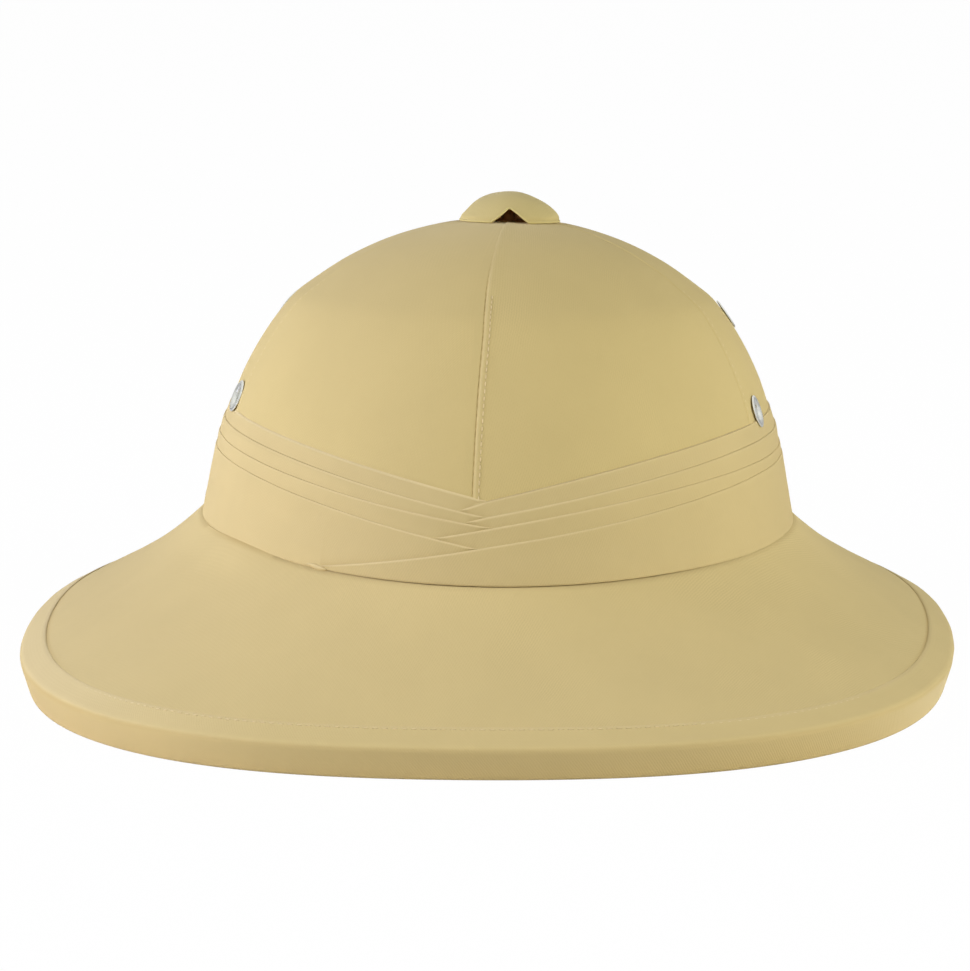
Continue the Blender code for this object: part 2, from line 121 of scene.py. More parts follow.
# Closed outline of an eyelet: what each point is measured from, how far out and how far up.
EYELET_LINE = (
    ("bore", 0.4, 0.0), ("flange", -0.25, 0.0), ("flange", -0.05, 0.08), ("flange", 0.0, 0.2),
    ("flange", -0.08, 0.34), ("flange", -0.35, 0.48), ("flange", -0.8, 0.56),
    ("flange", -1.3, 0.58), ("flange", -1.9, 0.5), ("bore", 0.45, 0.3), ("bore", 0.15, 0.0),
    ("bore", 0.0, -0.4), ("clinch", 0.0, -0.1), ("clinch", 0.3, -0.45), ("clinch", 1.6, -0.5),
    ("clinch", 1.8, -0.3), ("clinch", 1.7, 0.0), ("clinch", 0.4, 0.0),
)

# Columns across a seam, as distances from it: finer where the cloth folds.
SEAM_COLUMNS = (-2.6, -1.6, -0.9, -0.5, -0.25, -0.1, 0.0, 0.12, 0.3, 0.55, 0.9, 1.3, 1.7, 2.1,
                2.5, 3.0, 3.6, 4.2, 4.7, 5.2)
GORE_COLUMNS = 40
INNER_ROW_STEP = 3             # the crown's inside has one row for this many outside
MEAN_RADIUS_RATIO = 1.09       # mean radius of the crown's plan over its half width
SIDE_SEAM_SHARE = 0.15         # how far a side seam stands out, and how strong its painted highlight and shade are, against the front one
ROW_SPACING = 1.9              # distance between two rows of the crown
SEAM_SPREAD = 0.55             # largest part of a gore's width that a seam's columns take
FRONT_REACH = 20.0             # azimuths on each side of the front that hold its seam alone
SEAM_FADE = (36.0, 66.0)       # radii between which the seams come up below the cap
FOOT_FADE = 18.0               # height over the crown's foot where its relief is full
GORE_SHIFT = 0.37              # distance between two gores on the flat cloth, in metres
DRILL_DEPTH = 14.0

TOPSTITCH_FOOT, TOPSTITCH_END = 14.0, 58.0   # its lowest height and its smallest radius
STITCH_LIFT = 0.06             # height of the topstitching over the cloth
SIDE_STITCH_DEPTH = 0.26       # how deep the stitches lie sunk at the hat's sides
TOPSTITCH_SWAY, RIM_STITCH_SWAY = 0.12, 0.2  # how far the stitches lie askew
FRONT_HALF_WIDTH = 30.0        # half width of the front, where a stitch's ends get painted shade
# The rim's stitches: where they start and in what steps their line is drawn, in degrees, and
# how far they lie inside the binding's edge and further apart than on the crown.
RIM_STITCH_START, RIM_STITCH_STEP, RIM_STITCH_INSET, RIM_STITCH_SPARE = 30.5, 0.25, 0.9, 0.5

RIM_AZIMUTHS = [1.25 * j for j in range(288)]
LIP_ROWS = (0.9, 2.2, 3.6, 5.0, 6.6)   # heights of the lip's rows, from its foot up
CORNER_STEPS, MARGIN_STEPS, BRIM_ROWS = 8, 5, 34
UNDER_ROWS = (32, 28, 24, 20, 16, 12, 8, 4, 1)   # rows of the brim that its underside follows
# Azimuth where the brim rises to the band's foot, and the widths of the rise and of its painted
# shade.
FOOT_CORNER, FOOT_RISE_WIDTH, FOOT_SHADE_WIDTH = -55.0, 15.0, 14.0


def linear(rgb):
    """Display colour, 0 to 255, as the linear colour that a shader takes."""
    return [c / 12.92 if c <= 0.04045 else ((c + 0.055) / 1.055) ** 2.4
            for c in (value / 255.0 for value in rgb)]


def rgba(colour):
    return (*colour, 1.0)


def ramp(value, low, high):
    """Smooth step from 0 at low to 1 at high."""
    t = min(1.0, max(0.0, (value - low) / (high - low)))
    return t * t * (3.0 - 2.0 * t)


def window(value, low, full, fading, high):
    """Smooth step up from low to full and down again from fading to high."""
    return ramp(value, low, full) * (1.0 - ramp(value, fading, high))


def bell(value, width):
    """Smooth hump, 1 at 0 and 0.37 at width."""
    return math.exp(-(value / width) ** 2)


# ---------------------------------------------------------------- settings


def colour_setting(name, what, colour):
    return bpy.props.FloatVectorProperty(name=name, description="Colour of " + what,
                                         default=colour, min=0.0, max=1.0, subtype="COLOR")


def size_setting(name, description, millimetres):
    return bpy.props.FloatProperty(name=name, description=description, precision=5,
                                   default=millimetres * MM, min=0.0001, max=0.01,
                                   unit="LENGTH")


def angle_setting(name, description, degrees):
    return bpy.props.FloatProperty(name=name, description=description,
                                   default=math.radians(degrees), subtype="ANGLE")


def power_setting(name, what, watts):
    return bpy.props.FloatProperty(name=name, description="Power of " + what, default=watts,
                                   min=0.0, max=500.0, unit="POWER")


class HelmetCloth(bpy.types.PropertyGroup):
    """Colours and weave of the cloth."""
    crown: colour_setting("Crown", "the crown's cloth", linear((199, 180, 123)))
    brim: colour_setting("Brim", "the brim's cloth", linear((205, 186, 131)))
    binding: colour_setting("Binding", "the strip sewn over the rim", linear((205, 186, 131)))
    band: colour_setting("Band", "the pleated band", linear((198, 179, 127)))
    cap: colour_setting("Vent cap", "the vent cap's cloth", linear((196, 180, 123)))
    hem: colour_setting("Cap hem", "the vent cap's rolled edge", linear((206, 191, 128)))
    inside: colour_setting("Cap inside", "the vent cap's inner side", (0.75, 0.42, 0.15))
    thread: colour_setting("Thread", "the sewing thread", linear((221, 202, 152)))
    pitch: size_setting("Twill pitch", "Distance between two ribs of the twill", 0.72)


class HelmetSewing(bpy.types.PropertyGroup):
    """Sizes of seams and stitches."""
    groove: size_setting("Seam groove", "Depth of the groove where two gores meet", 0.16)
    fold: size_setting("Seam fold", "Height of the pressed allowance beside a seam", 0.2)
    inset: size_setting("Topstitch inset", "Distance from a seam to its topstitching", 2.1)
    stitch: size_setting("Stitch length", "Visible length of one stitch", 1.5)
    gap: size_setting("Stitch gap", "Gap between two stitches", 0.87)
    thread: size_setting("Thread", "Thickness of the thread", 0.42)
    pleat: size_setting("Pleat step", "How far each folded edge of the band stands out", 0.34)


class HelmetMetal(bpy.types.PropertyGroup):
    """Finish of the eyelets and the vent cap's stud."""
    eyelet: colour_setting("Eyelet", "the eyelets' plating", (0.80, 0.81, 0.76))
    stud: colour_setting("Stud", "the stud under the vent cap", (0.60, 0.33, 0.12))
    flange: size_setting("Flange radius", "Radius of an eyelet's outer flange", 5.25)


class HelmetStudio(bpy.types.PropertyGroup):
    """Camera and light."""
    azimuth: angle_setting("Camera azimuth", "Turn of the camera from the hat's front", 3.0)
    elevation: angle_setting("Camera elevation", "Angle of the camera over the horizon", 10.3)
    distance: bpy.props.FloatProperty(
        name="Camera distance", description="Distance from the camera to its target",
        default=1.8, min=0.5, max=10.0, unit="LENGTH")
    lens: bpy.props.FloatProperty(
        name="Lens", description="Focal length on a sensor 36 mm high",
        default=208.55, min=10.0, max=1000.0, unit="CAMERA")
    sky: bpy.props.FloatProperty(
        name="Surrounding light", description="Strength of the even light from all round",
        default=0.032, min=0.0, max=5.0)
    left: power_setting("Left light", "the large soft light on the left", 20.7)
    side: power_setting("Side light", "the low soft light at the left side", 21.1)
    right: power_setting("Right light", "the large soft light on the right", 27.1)
    top: power_setting("Top light", "the soft light over the hat", 0.8)
    back: power_setting("Back lights", "each of the two soft lights behind", 3.2)


# ---------------------------------------------------------------- shape of the hat


def smooth_line(points, steps):
    """Finer points along a smooth curve through the given ones."""
    fine = []
    last = len(points) - 1
    for i in range(last):
        b, c = Vector(points[i]), Vector(points[i + 1])
        a = Vector(points[i - 1]) if i else 2.0 * b - c
        d = Vector(points[i + 2]) if i + 2 <= last else 2.0 * c - b
        for j in range(steps):
            t = j / steps
            fine.append(0.5 * (2.0 * b + (c - a) * t + (2.0 * a - 5.0 * b + 4.0 * c - d) * t * t
                               + (3.0 * b - a - 3.0 * c + d) * t ** 3))
    fine.append(Vector(points[-1]))
    return fine


CROWN_LINE = smooth_line(CROWN_PROFILE, 16)
CROWN_LINE_HEIGHTS = [p[1] for p in CROWN_LINE]


def even_line(points, spacing):
    """Points of a line at even distances along it."""
    length = [0.0]
    for a, b in zip(points, points[1:]):
        length.append(length[-1] + (b - a).length)
    count = max(1, round(length[-1] / spacing))
    out = []
    for n in range(count + 1):
        s = length[-1] * n / count
        i = min(len(points) - 2, max(0, bisect.bisect_right(length, s) - 1))
        out.append(points[i].lerp(points[i + 1], (s - length[i]) / (length[i + 1] - length[i])))
    return out


def crown_radius(h):
    """Half width of the crown's outer surface at a height."""
    i = min(len(CROWN_LINE) - 1, max(1, bisect.bisect_left(CROWN_LINE_HEIGHTS, h)))
    a, b = CROWN_LINE[i - 1], CROWN_LINE[i]
    return a[0] + (b[0] - a[0]) * (h - a[1]) / (b[1] - a[1])


def plan_point(azimuth, half_width, half_length, corner):
    """Point of a rounded oval."""
    a = math.radians(azimuth)
    k = 1.0 - corner * math.sin(2.0 * a) ** 2
    return half_width * k * math.sin(a), -half_length * k * math.cos(a)


def lean(x, y, h):
    """Carry a point of the upright crown to its leaning place."""
    t = h / LEAN_REFERENCE
    bend = math.radians(BEND_BACK) * t * abs(t)
    roll = math.radians(ROLL)
    shift_x = DRIFT[0] + DRIFT[1] * t + DRIFT[2] * t * t
    shift_y = LEAN_REFERENCE * math.radians(BEND_BACK) * t ** 3 / 3.0
    return Vector((x * math.cos(roll) + shift_x, y * math.cos(bend) + shift_y,
                   h - x * math.sin(roll) - y * math.sin(bend) + CROWN_FOOT_Z))


def crown_point(azimuth, h, half_width, half_length):
    point = lean(*plan_point(azimuth, half_width, half_length, CROWN_CORNER), h)
    fade = max(0.0, 1.0 - h / SADDLE_REACH)
    point.z += SADDLE * fade * math.sin(math.radians(azimuth)) ** 2
    return point


def crown_surface(azimuth, h, out=0.0, radius=None):
    """Point on the crown, moved outwards in plan by out."""
    r = crown_radius(h) if radius is None else radius
    return crown_point(azimuth, h, r + out, r * CROWN_LENGTH_RATIO + out)


def crown_normal(azimuth, h, radius=None, slope=(0.0, 1.0)):
    """Outward direction at a point; slope is the profile's direction there."""
    r = crown_radius(h) if radius is None else radius
    along = crown_surface(azimuth + 0.5, h, 0.0, r) - crown_surface(azimuth - 0.5, h, 0.0, r)
    dr, dh = slope
    up = crown_surface(azimuth, h + dh, 0.0, r + dr) - crown_surface(azimuth, h - dh, 0.0, r - dr)
    return along.cross(up).normalized()


def crown_swell(point, h):
    """How far the cloth stands off the stiff crown at a point, in soft waves."""
    return 0.25 * noise.noise(point / 38.0 + Vector((3.1, 7.7, 1.3))) * ramp(h, 0.0, FOOT_FADE)


def arc_per_degree(azimuth, h, radius=None):
    a = crown_surface(azimuth - 0.5, h, 0.0, radius)
    b = crown_surface(azimuth + 0.5, h, 0.0, radius)
    return (b - a).length


def seam_azimuth(index, h):
    """Azimuth of a seam; the front one runs a degree aside towards the cap."""
    azimuth = FIRST_SEAM + 360.0 / GORES * index
    if index % GORES == 0:
        azimuth -= ramp(h, 66.0, 84.0)
    return azimuth


def offset_line(points, distance):
    """Move an open 2-D line sideways, to its right, with mitred corners."""
    moved = []
    for i, (x, y) in enumerate(points):
        sides = []
        for a, b in ((i - 1, i), (i, i + 1)):
            if a < 0 or b >= len(points):
                continue
            dx = points[b][0] - points[a][0]
            dy = points[b][1] - points[a][1]
            length = math.hypot(dx, dy)
            sides.append((dy / length, -dx / length))
        nx = sum(s[0] for s in sides)
        ny = sum(s[1] for s in sides)
        scale = distance * len(sides) / (nx * nx + ny * ny)
        moved.append((x + nx * scale, y + ny * scale))
    return moved


# ---------------------------------------------------------------- mesh helpers


def select_only(obj=None):
    """Select one object, or none."""
    for other in bpy.context.selected_objects:
        other.select_set(False)
    if obj:
        obj.select_set(True)
    bpy.context.view_layer.objects.active = obj


def edit_all(*steps):
    """Run mesh operators, as (operator, settings), each on all of the active mesh."""
    bpy.ops.object.mode_set(mode="EDIT")
    for operator, settings in steps:
        bpy.ops.mesh.select_all(action="SELECT")
        operator(**settings)
    bpy.ops.object.mode_set(mode="OBJECT")


def apply_modifier(obj, kind, **settings):
    """Add a modifier, set it and apply it."""
    modifier = obj.modifiers.new(kind.title(), kind)
    for key, value in settings.items():
        setattr(modifier, key, value)
    select_only(obj)
    bpy.ops.object.modifier_apply(modifier=modifier.name)


def cut(obj, cutter):
    """Cut the cutter's shape out of a piece and remove the cutter."""
    apply_modifier(obj, "BOOLEAN", operation="DIFFERENCE", solver="EXACT", object=cutter)
    bpy.data.objects.remove(cutter)


def settle(obj, place):
    """Move an object to its place and put that place into its mesh."""
    obj.matrix_world = place
    select_only(obj)
    bpy.ops.object.transform_apply(location=True, rotation=True, scale=True)


def rotation(degrees, axis, size=4):
    return Matrix.Rotation(math.radians(degrees), size, axis)


def frame_matrix(x_axis, y_axis, z_axis, origin):
    """Matrix of a frame whose origin is in millimetres."""
    matrix = Matrix((x_axis, y_axis, z_axis)).transposed().to_4x4()
    matrix.translation = origin * MM
    return matrix


def new_object(name, mesh):
    obj = bpy.data.objects.new(name, mesh)
    bpy.context.scene.collection.objects.link(obj)
    return obj


def paint(mesh, **values):
    """Store numbers, one for each point, under each name."""
    for name, numbers in values.items():
        mesh.attributes.new(name, "FLOAT", "POINT").data.foreach_set("value", numbers)


def ring_shell(name, sections, weave, tone):
    """Join closed sections round the hat into one closed body.

    weave(j, side, i) gives a face corner's place on the flat cloth in metres: j is the face's
    column, side 0 or 1 its left or right edge, and i the row. tone holds one pair for each
    point: its painted highlight and its painted shade."""
    count, around = len(sections[0]), len(sections)
    faces, places = [], []
    for j in range(around):
        here, there = j * count, (j + 1) % around * count
        for i in range(count):
            k = (i + 1) % count
            faces.append((here + i, there + i, there + k, here + k))
            places += [weave(j, 0, i), weave(j, 1, i), weave(j, 1, i + 1), weave(j, 0, i + 1)]
    mesh = bpy.data.meshes.new(name)
    mesh.from_pydata([p * MM for section in sections for p in section], [], faces)
    layer = mesh.uv_layers.new(name="weave")
    layer.data.foreach_set("uv", [c for place in places for c in place])
    painted_highlights, painted_shades = zip(*(pair for marks in tone for pair in marks))
    paint(mesh, crest=painted_highlights, crease=painted_shades)
    mesh.validate()
    return new_object(name, mesh)


def closed_tube(name, sections):
    """Body through closed loops of points, with its first and last loop filled."""
    bm = bmesh.new()
    loops = [[bm.verts.new(p * MM) for p in section] for section in sections]
    bm.faces.new(loops[0])
    bm.faces.new(loops[-1])
    for near, far in zip(loops, loops[1:]):
        for i in range(len(near)):
            bm.faces.new((near[i - 1], near[i], far[i], far[i - 1]))
    bmesh.ops.recalc_face_normals(bm, faces=bm.faces)
    mesh = bpy.data.meshes.new(name)
    bm.to_mesh(mesh)
    bm.free()
    return new_object(name, mesh)


def finish_piece(obj, nodes, material, sharp=None):
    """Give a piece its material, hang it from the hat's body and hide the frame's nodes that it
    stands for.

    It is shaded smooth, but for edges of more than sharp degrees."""
    obj.data.shade_smooth()
    if sharp:
        obj.data.set_sharp_from_angle(angle=math.radians(sharp))
    obj.data.materials.clear()
    obj.data.materials.append(material)
    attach(obj, BODY)
    if nodes:
        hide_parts(*nodes)


# ---------------------------------------------------------------- materials


class Wire:
    """Output of a node. Reckoning with wires adds Math nodes to their tree."""

    def __init__(self, socket):
        self.socket = socket

    def math(self, operation, other=0.0, **settings):
        return add_node(self.socket.id_data, "ShaderNodeMath", {0: self, 1: other},
                        operation=operation, **settings)

    def __add__(self, other):
        return self.math("ADD", other)

    def __sub__(self, other):
        return self.math("SUBTRACT", other)

    def __mul__(self, other):
        return self.math("MULTIPLY", other)

    def __truediv__(self, other):
        return self.math("DIVIDE", other)

    def spread(self, low, high, to_low=0.0, to_high=1.0):
        """This wire's range from low to high, stretched to another range."""
        return add_node(self.socket.id_data, "ShaderNodeMapRange", {
            "Value": self, "From Min": low, "From Max": high, "To Min": to_low,
            "To Max": to_high})


def link(value, socket):
    """Feed a socket from a wire, or set it to a value."""
    if isinstance(value, Wire):
        socket.id_data.links.new(value.socket, socket)
    else:
        socket.default_value = value


def add_node(tree, kind, inputs=None, output=0, **settings):
    """Add a node with wires or values for its inputs, and return the wire of one output."""
    node = tree.nodes.new(kind)
    for key, value in settings.items():
        setattr(node, key, value)
    for key, value in (inputs or {}).items():
        link(value, node.inputs[key])
    return Wire(node.outputs[output])


def add_noise(tree, place, scale, detail=2.0, roughness=0.5):
    return add_node(tree, "ShaderNodeTexNoise", {
        "Vector": place, "Scale": scale, "Detail": detail, "Roughness": roughness}, "Fac")


def blend(tree, kind, factor, first, second):
    """Mix two colours."""
    return add_node(tree, "ShaderNodeMix", {0: factor, 6: first, 7: second}, 2,
                    data_type="RGBA", blend_type=kind)


def painted(tree, name):
    """Wire of a number that the piece holds for each of its points."""
    return add_node(tree, "ShaderNodeAttribute", None, "Fac", attribute_name=name)


def object_place(tree):
    return add_node(tree, "ShaderNodeTexCoord", None, "Object")


def bump(tree, height, strength, distance):
    return add_node(tree, "ShaderNodeBump",
                    {"Strength": strength, "Distance": distance, "Height": height})


def twill_weave(tree, place, pitch, turn, colour, contrast, clouds):
    """Diagonal twill: ribs, the crossing yarn, uneven yarn and slow clouds of colour."""
    turned = add_node(tree, "ShaderNodeVectorRotate", {"Vector": place, "Angle": turn},
                      rotation_type="Z_AXIS")
    x, y = (add_node(tree, "ShaderNodeSeparateXYZ", {0: turned}, axis) for axis in "XY")
    phase = (x + add_noise(tree, turned, 0.22) * 0.9) / pitch
    rib = (phase * (2.0 * math.pi)).math("SINE") * 0.5 + 0.5
    beads = (y / pitch * 3.3 + phase.math("FLOOR") * 2.2).math("SINE") * 0.5 + 0.5
    stretched = add_node(tree, "ShaderNodeVectorMath", {0: turned, 1: (1.6, 0.16, 1.0)},
                         operation="MULTIPLY")
    yarn = add_noise(tree, stretched, 1.0, 3.0, 0.6)
    fuzz = add_noise(tree, turned, 3.2)
    relief = rib * 0.55 + beads * 0.2 + yarn * 0.35 + fuzz * 0.2
    wear = add_noise(tree, place, 0.03).spread(0.46, 0.66, 0.15, 2.0)
    cloud = add_noise(tree, place, 0.035, 3.0, 0.55)
    tone = (relief - 0.65) * contrast * wear + (cloud - 0.5) * clouds + 1.0
    tinted = add_node(tree, "ShaderNodeVectorMath", {0: colour, "Scale": tone},
                      operation="SCALE")
    return tinted, relief, rib * -0.12 + 0.95


def fold_tone(tree, colour, crest, crease, place, pucker):
    """Painted highlight along folded edges and painted shade in creases, from the piece's points;
    pucker makes the painted shade come and go in waves along the cloth.
    """
    along = add_node(tree, "ShaderNodeSeparateXYZ", {0: place}, "Y")
    # Waves along the cloth, like small puckers, in which the painted shade comes and goes.
    gathers = (along * 2.24 + add_noise(tree, place, 0.3) * 9.0).math("SINE")
    gathered = crease.math("MULTIPLY", gathers * pucker + 1.0, use_clamp=True)
    # Painted highlight: pale khaki where a folded edge would catch the light.
    paler = blend(tree, "MIX", crest * 0.36, colour, rgba(linear((231, 214, 168))))
    # Painted shade: a warm dark khaki multiplied in where a crease lies in shade.
    return (blend(tree, "MULTIPLY", gathered * 0.8, paler, rgba(linear((185, 155, 85)))),)


def plated_metal(tree, place, colour, tarnish_colour, tarnish, gloss):
    """Plated metal that has been handled: small streaks and dull patches."""
    dull = add_noise(tree, place, 420.0, 4.0).spread(0.45, 0.75) * tarnish
    return (blend(tree, "MIX", dull, colour, tarnish_colour),
            gloss * -1.0 + 1.0 + dull * 0.3, add_noise(tree, place, 2600.0))


# Shader groups by name: what builds them, and the kinds of their inputs and outputs.
GROUPS = {
    "twill_weave": (
        twill_weave, {"Cloth Place": "Vector", "Pitch": "Float", "Turn": "Float",
                      "Colour": "Color", "Rib Contrast": "Float", "Cloud Contrast": "Float"},
        {"Colour": "Color", "Height": "Float", "Roughness": "Float"}),
    "fold_tone": (
        fold_tone, {"Colour": "Color", "Crest": "Float", "Crease": "Float",
                    "Cloth Place": "Vector", "Pucker": "Float"},
        {"Colour": "Color"}),
    "plated_metal": (
        plated_metal, {"Place": "Vector", "Colour": "Color", "Tarnish Colour": "Color",
                       "Tarnish": "Float", "Gloss": "Float"},
        {"Colour": "Color", "Roughness": "Float", "Height": "Float"}),
}


def new_group(name):
    build, inputs, outputs = GROUPS[name]
    tree = bpy.data.node_groups.new(name, "ShaderNodeTree")
    for sockets, side in ((inputs, "INPUT"), (outputs, "OUTPUT")):
        for label, kind in sockets.items():
            tree.interface.new_socket(label, in_out=side, socket_type="NodeSocket" + kind)
    given, out = tree.nodes.new("NodeGroupInput"), tree.nodes.new("NodeGroupOutput")
    wires = build(tree, *(Wire(given.outputs[label]) for label in inputs))
    for label, wire in zip(outputs, wires):
        link(wire, out.inputs[label])
    return tree


def place_group(tree, name, *values):
    """Place a shader group with wires or values for its inputs; gives its outputs' wires."""
    node = tree.nodes.new("ShaderNodeGroup")
    node.node_tree = bpy.data.node_groups.get(name) or new_group(name)
    for socket, value in zip(node.inputs, values):
        link(value, socket)
    return [Wire(socket) for socket in node.outputs]


def new_material(name):
    material = bpy.data.materials.new(name)
    material.use_nodes = True
    return material, material.node_tree


def feed_shader(tree, inputs):
    """Link or set inputs of a material's own shader."""
    for key, value in inputs.items():
        link(value, tree.nodes["Principled BSDF"].inputs[key])


def cloth_material(name, colour, turn, uv=True, contrast=0.075, pucker=0.0, inside=None):
    """Cotton twill whose ribs lie at an angle, turn in degrees, to the cloth's own axes.

    Where inside is a colour, the piece's points of that name bring it in."""
    material, tree = new_material(name)
    place = add_node(tree, "ShaderNodeUVMap", uv_map="weave") if uv else object_place(tree)
    in_mm = add_node(tree, "ShaderNodeMapping", {"Vector": place, "Scale": (1000.0,) * 3})
    tinted, height, rough = place_group(
        tree, "twill_weave", in_mm, bpy.context.scene.helmet_cloth.pitch / MM,
        math.radians(turn), rgba(colour), contrast, 0.10)
    # Painted highlight and painted shade come from each piece's points.
    tone, = place_group(tree, "fold_tone", tinted, painted(tree, "crest"),
                        painted(tree, "crease"), in_mm, pucker)
    if inside:
        tone = blend(tree, "MIX", painted(tree, "inside"), tone, rgba(inside))
    feed_shader(tree, {"Base Color": tone, "Roughness": rough,
                       "Normal": bump(tree, height, 0.5, 0.00008),
                       "Specular IOR Level": 0.25, "Sheen Weight": 0.10,
                       "Sheen Roughness": 0.5})
    material.diffuse_color = rgba(colour)
    return material


def thread_material():
    """Twisted cotton thread, with painted shade at the ends that dip into the cloth."""
    if "sewing_thread" in bpy.data.materials:
        return bpy.data.materials["sewing_thread"]
    colour = bpy.context.scene.helmet_cloth.thread
    material, tree = new_material("sewing_thread")
    twist = add_noise(tree, object_place(tree), 2400.0)
    tone = blend(tree, "MIX", twist, rgba([0.82 * c for c in colour]),
                 rgba([min(1.0, 1.12 * c) for c in colour]))
    # Painted shade: the ends that dip into the cloth are mixed towards a dark khaki.
    tone = blend(tree, "MIX", painted(tree, "sunk"), tone, rgba(linear((170, 148, 96))))
    feed_shader(tree, {"Base Color": tone, "Normal": bump(tree, twist, 0.4, 0.0001),
                       "Roughness": 0.7, "Sheen Weight": 0.2})
    return material


def metal_material(name, colour, tarnish_colour, tarnish, gloss):
    material, tree = new_material(name)
    tone, rough, grit = place_group(tree, "plated_metal", object_place(tree), rgba(colour),
                                    rgba(tarnish_colour), tarnish, gloss)
    feed_shader(tree, {"Base Color": tone, "Roughness": rough, "Metallic": 1.0,
                       "Normal": bump(tree, grit, 0.03, 0.00001)})
    return material


# ---------------------------------------------------------------- crown


def seam_relief(offset, sewing, share=1.0):
    """Height of the cloth over the crown beside a seam, the painted highlight on its pressed fold
    and the painted shade in its groove.
    """
    offset -= 0.15
    groove = share * bell(offset, 0.15)
    fold = ramp(offset, 0.03, 0.4) * (1.0 - ramp(offset, 1.2, 5.2))
    pull = bell(offset - sewing.inset / MM, 0.35)
    height = fold * sewing.fold / MM - groove * sewing.groove / MM - 0.05 * pull
    return (height, (0.08 + 0.57 * share) * bell(offset - 0.65, 0.35),
            share * 0.32 * bell(offset + 0.02, 0.2))


def crown_rows():
    """(radius, height, slope) of each row of the outer surface, from the foot to the vent."""
    line = even_line(CROWN_LINE, ROW_SPACING)
    rows = []
    for i, p in enumerate(line):
        a, b = line[max(0, i - 1)], line[min(len(line) - 1, i + 1)]
        slope = (b - a).normalized()
        rows.append((p[0], p[1], (slope[0], slope[1])))
    return rows


def crown_columns(radius, h):
    """(azimuth, distance from its seam or None, gore) of every column at one height."""
    columns = []
    width = 2.0 * math.pi * radius * MEAN_RADIUS_RATIO / GORES
    squeeze = min(1.0, SEAM_SPREAD * width / (SEAM_COLUMNS[-1] - SEAM_COLUMNS[0]))
    for g in range(GORES):
        seam, after = seam_azimuth(g, h), seam_azimuth(g + 1, h)
        arc = arc_per_degree(seam, h, radius)
        for offset in SEAM_COLUMNS:
            columns.append((seam + offset * squeeze / arc, offset,
                            g - 1 if offset < -0.001 else g))
        start = seam + SEAM_COLUMNS[-1] * squeeze / arc
        stop = after + SEAM_COLUMNS[0] * squeeze / arc_per_degree(after, h, radius)
        for n in range(1, GORE_COLUMNS):
            columns.append((start + (stop - start) * n / GORE_COLUMNS, None, g))
    return columns


class HELMET_OT_crown_cover(bpy.types.Operator):
    """Cloth cover of the crown: five gores with pressed seams, holes for eyelets and vent"""
    bl_idname = "helmet.crown_cover"
    bl_label = "Crown Cover"

    def execute(self, context):
        sewing = context.scene.helmet_sewing
        rows = crown_rows()
        inner = [row for n, row in enumerate(rows)
                 if n % INNER_ROW_STEP == 0 or n == len(rows) - 1]
        layout = [crown_columns(r, h) for r, h, slope in rows]
        count = len(layout[0])
        sections, tone = [[] for _ in range(count)], [[] for _ in range(count)]
        for (r, h, slope), columns in zip(rows, layout):
            for j, (azimuth, offset, gore) in enumerate(columns):
                point = crown_surface(azimuth, h, 0.0, r)
                height, crest, crease = (0.0, 0.0, 0.0)
                # A seam brings a painted highlight on its pressed fold and painted shade in its
                # groove.
                if offset is not None:
                    share = 1.0 if abs(azimuth) < FRONT_REACH else SIDE_SEAM_SHARE
                    height, crest, crease = seam_relief(offset, sewing,
                                                        share * ramp(r, *SEAM_FADE))
                relief = height * ramp(h, 0.0, FOOT_FADE) + crown_swell(point, h)
                sections[j].append(point + crown_normal(azimuth, h, r, slope) * relief)
                tone[j].append((crest, crease))
        for r, h, slope in reversed(inner):
            for j, (azimuth, offset, gore) in enumerate(crown_columns(r, h)):
                inward = crown_normal(azimuth, h, r, slope) * -CROWN_WALL
                if h < 0.5:   # the foot's edge stays level
                    inward.z = 0.0
                sections[j].append(crown_surface(azimuth, h, 0.0, r) + inward)
                tone[j].append((0.0, 0.0))
        middles = [FIRST_SEAM + 360.0 / GORES * (g + 0.5) for g in range(-1, GORES + 1)]
        reach = [0.0]
        for near, far in zip(rows, rows[1:]):
            reach.append(reach[-1] + math.dist(near[:2], far[:2]))

        def weave(j, side, i):
            """Each gore's cloth lies flat round its own middle."""
            row = i % (len(rows) + len(inner))
            if row >= len(rows):
                row = max(0, len(rows) - 1 - INNER_ROW_STEP * (row - len(rows)))
            azimuth = layout[row][(j + side) % count][0] + (360.0 if j + side >= count else 0.0)
            gore = layout[row][j][2]
            arc = MEAN_RADIUS_RATIO * rows[row][0] * math.pi / 180.0
            return ((azimuth - middles[gore + 1]) * arc * MM + GORE_SHIFT * gore,
                    reach[row] * MM)

        cover = ring_shell("crown_cover", sections, weave, tone)
        for name, azimuth, height, lift, tilt, turn in EYELET_ROWS:
            select_only()
            bpy.ops.mesh.primitive_cylinder_add(vertices=32, radius=EYELET_HOLE_RADIUS * MM,
                                                depth=DRILL_DEPTH * MM)
            drill = context.object
            drill.matrix_world = eyelet_matrix(azimuth, height, 0.0, tilt)
            cut(cover, drill)
        # pucker makes the seams' painted shade come and go in waves.
        twill = cloth_material("crown_twill", context.scene.helmet_cloth.crown, 28.0, pucker=0.7)
        finish_piece(cover, ["crown"], twill, 50.0)
        return {"FINISHED"}


# ---------------------------------------------------------------- stitching


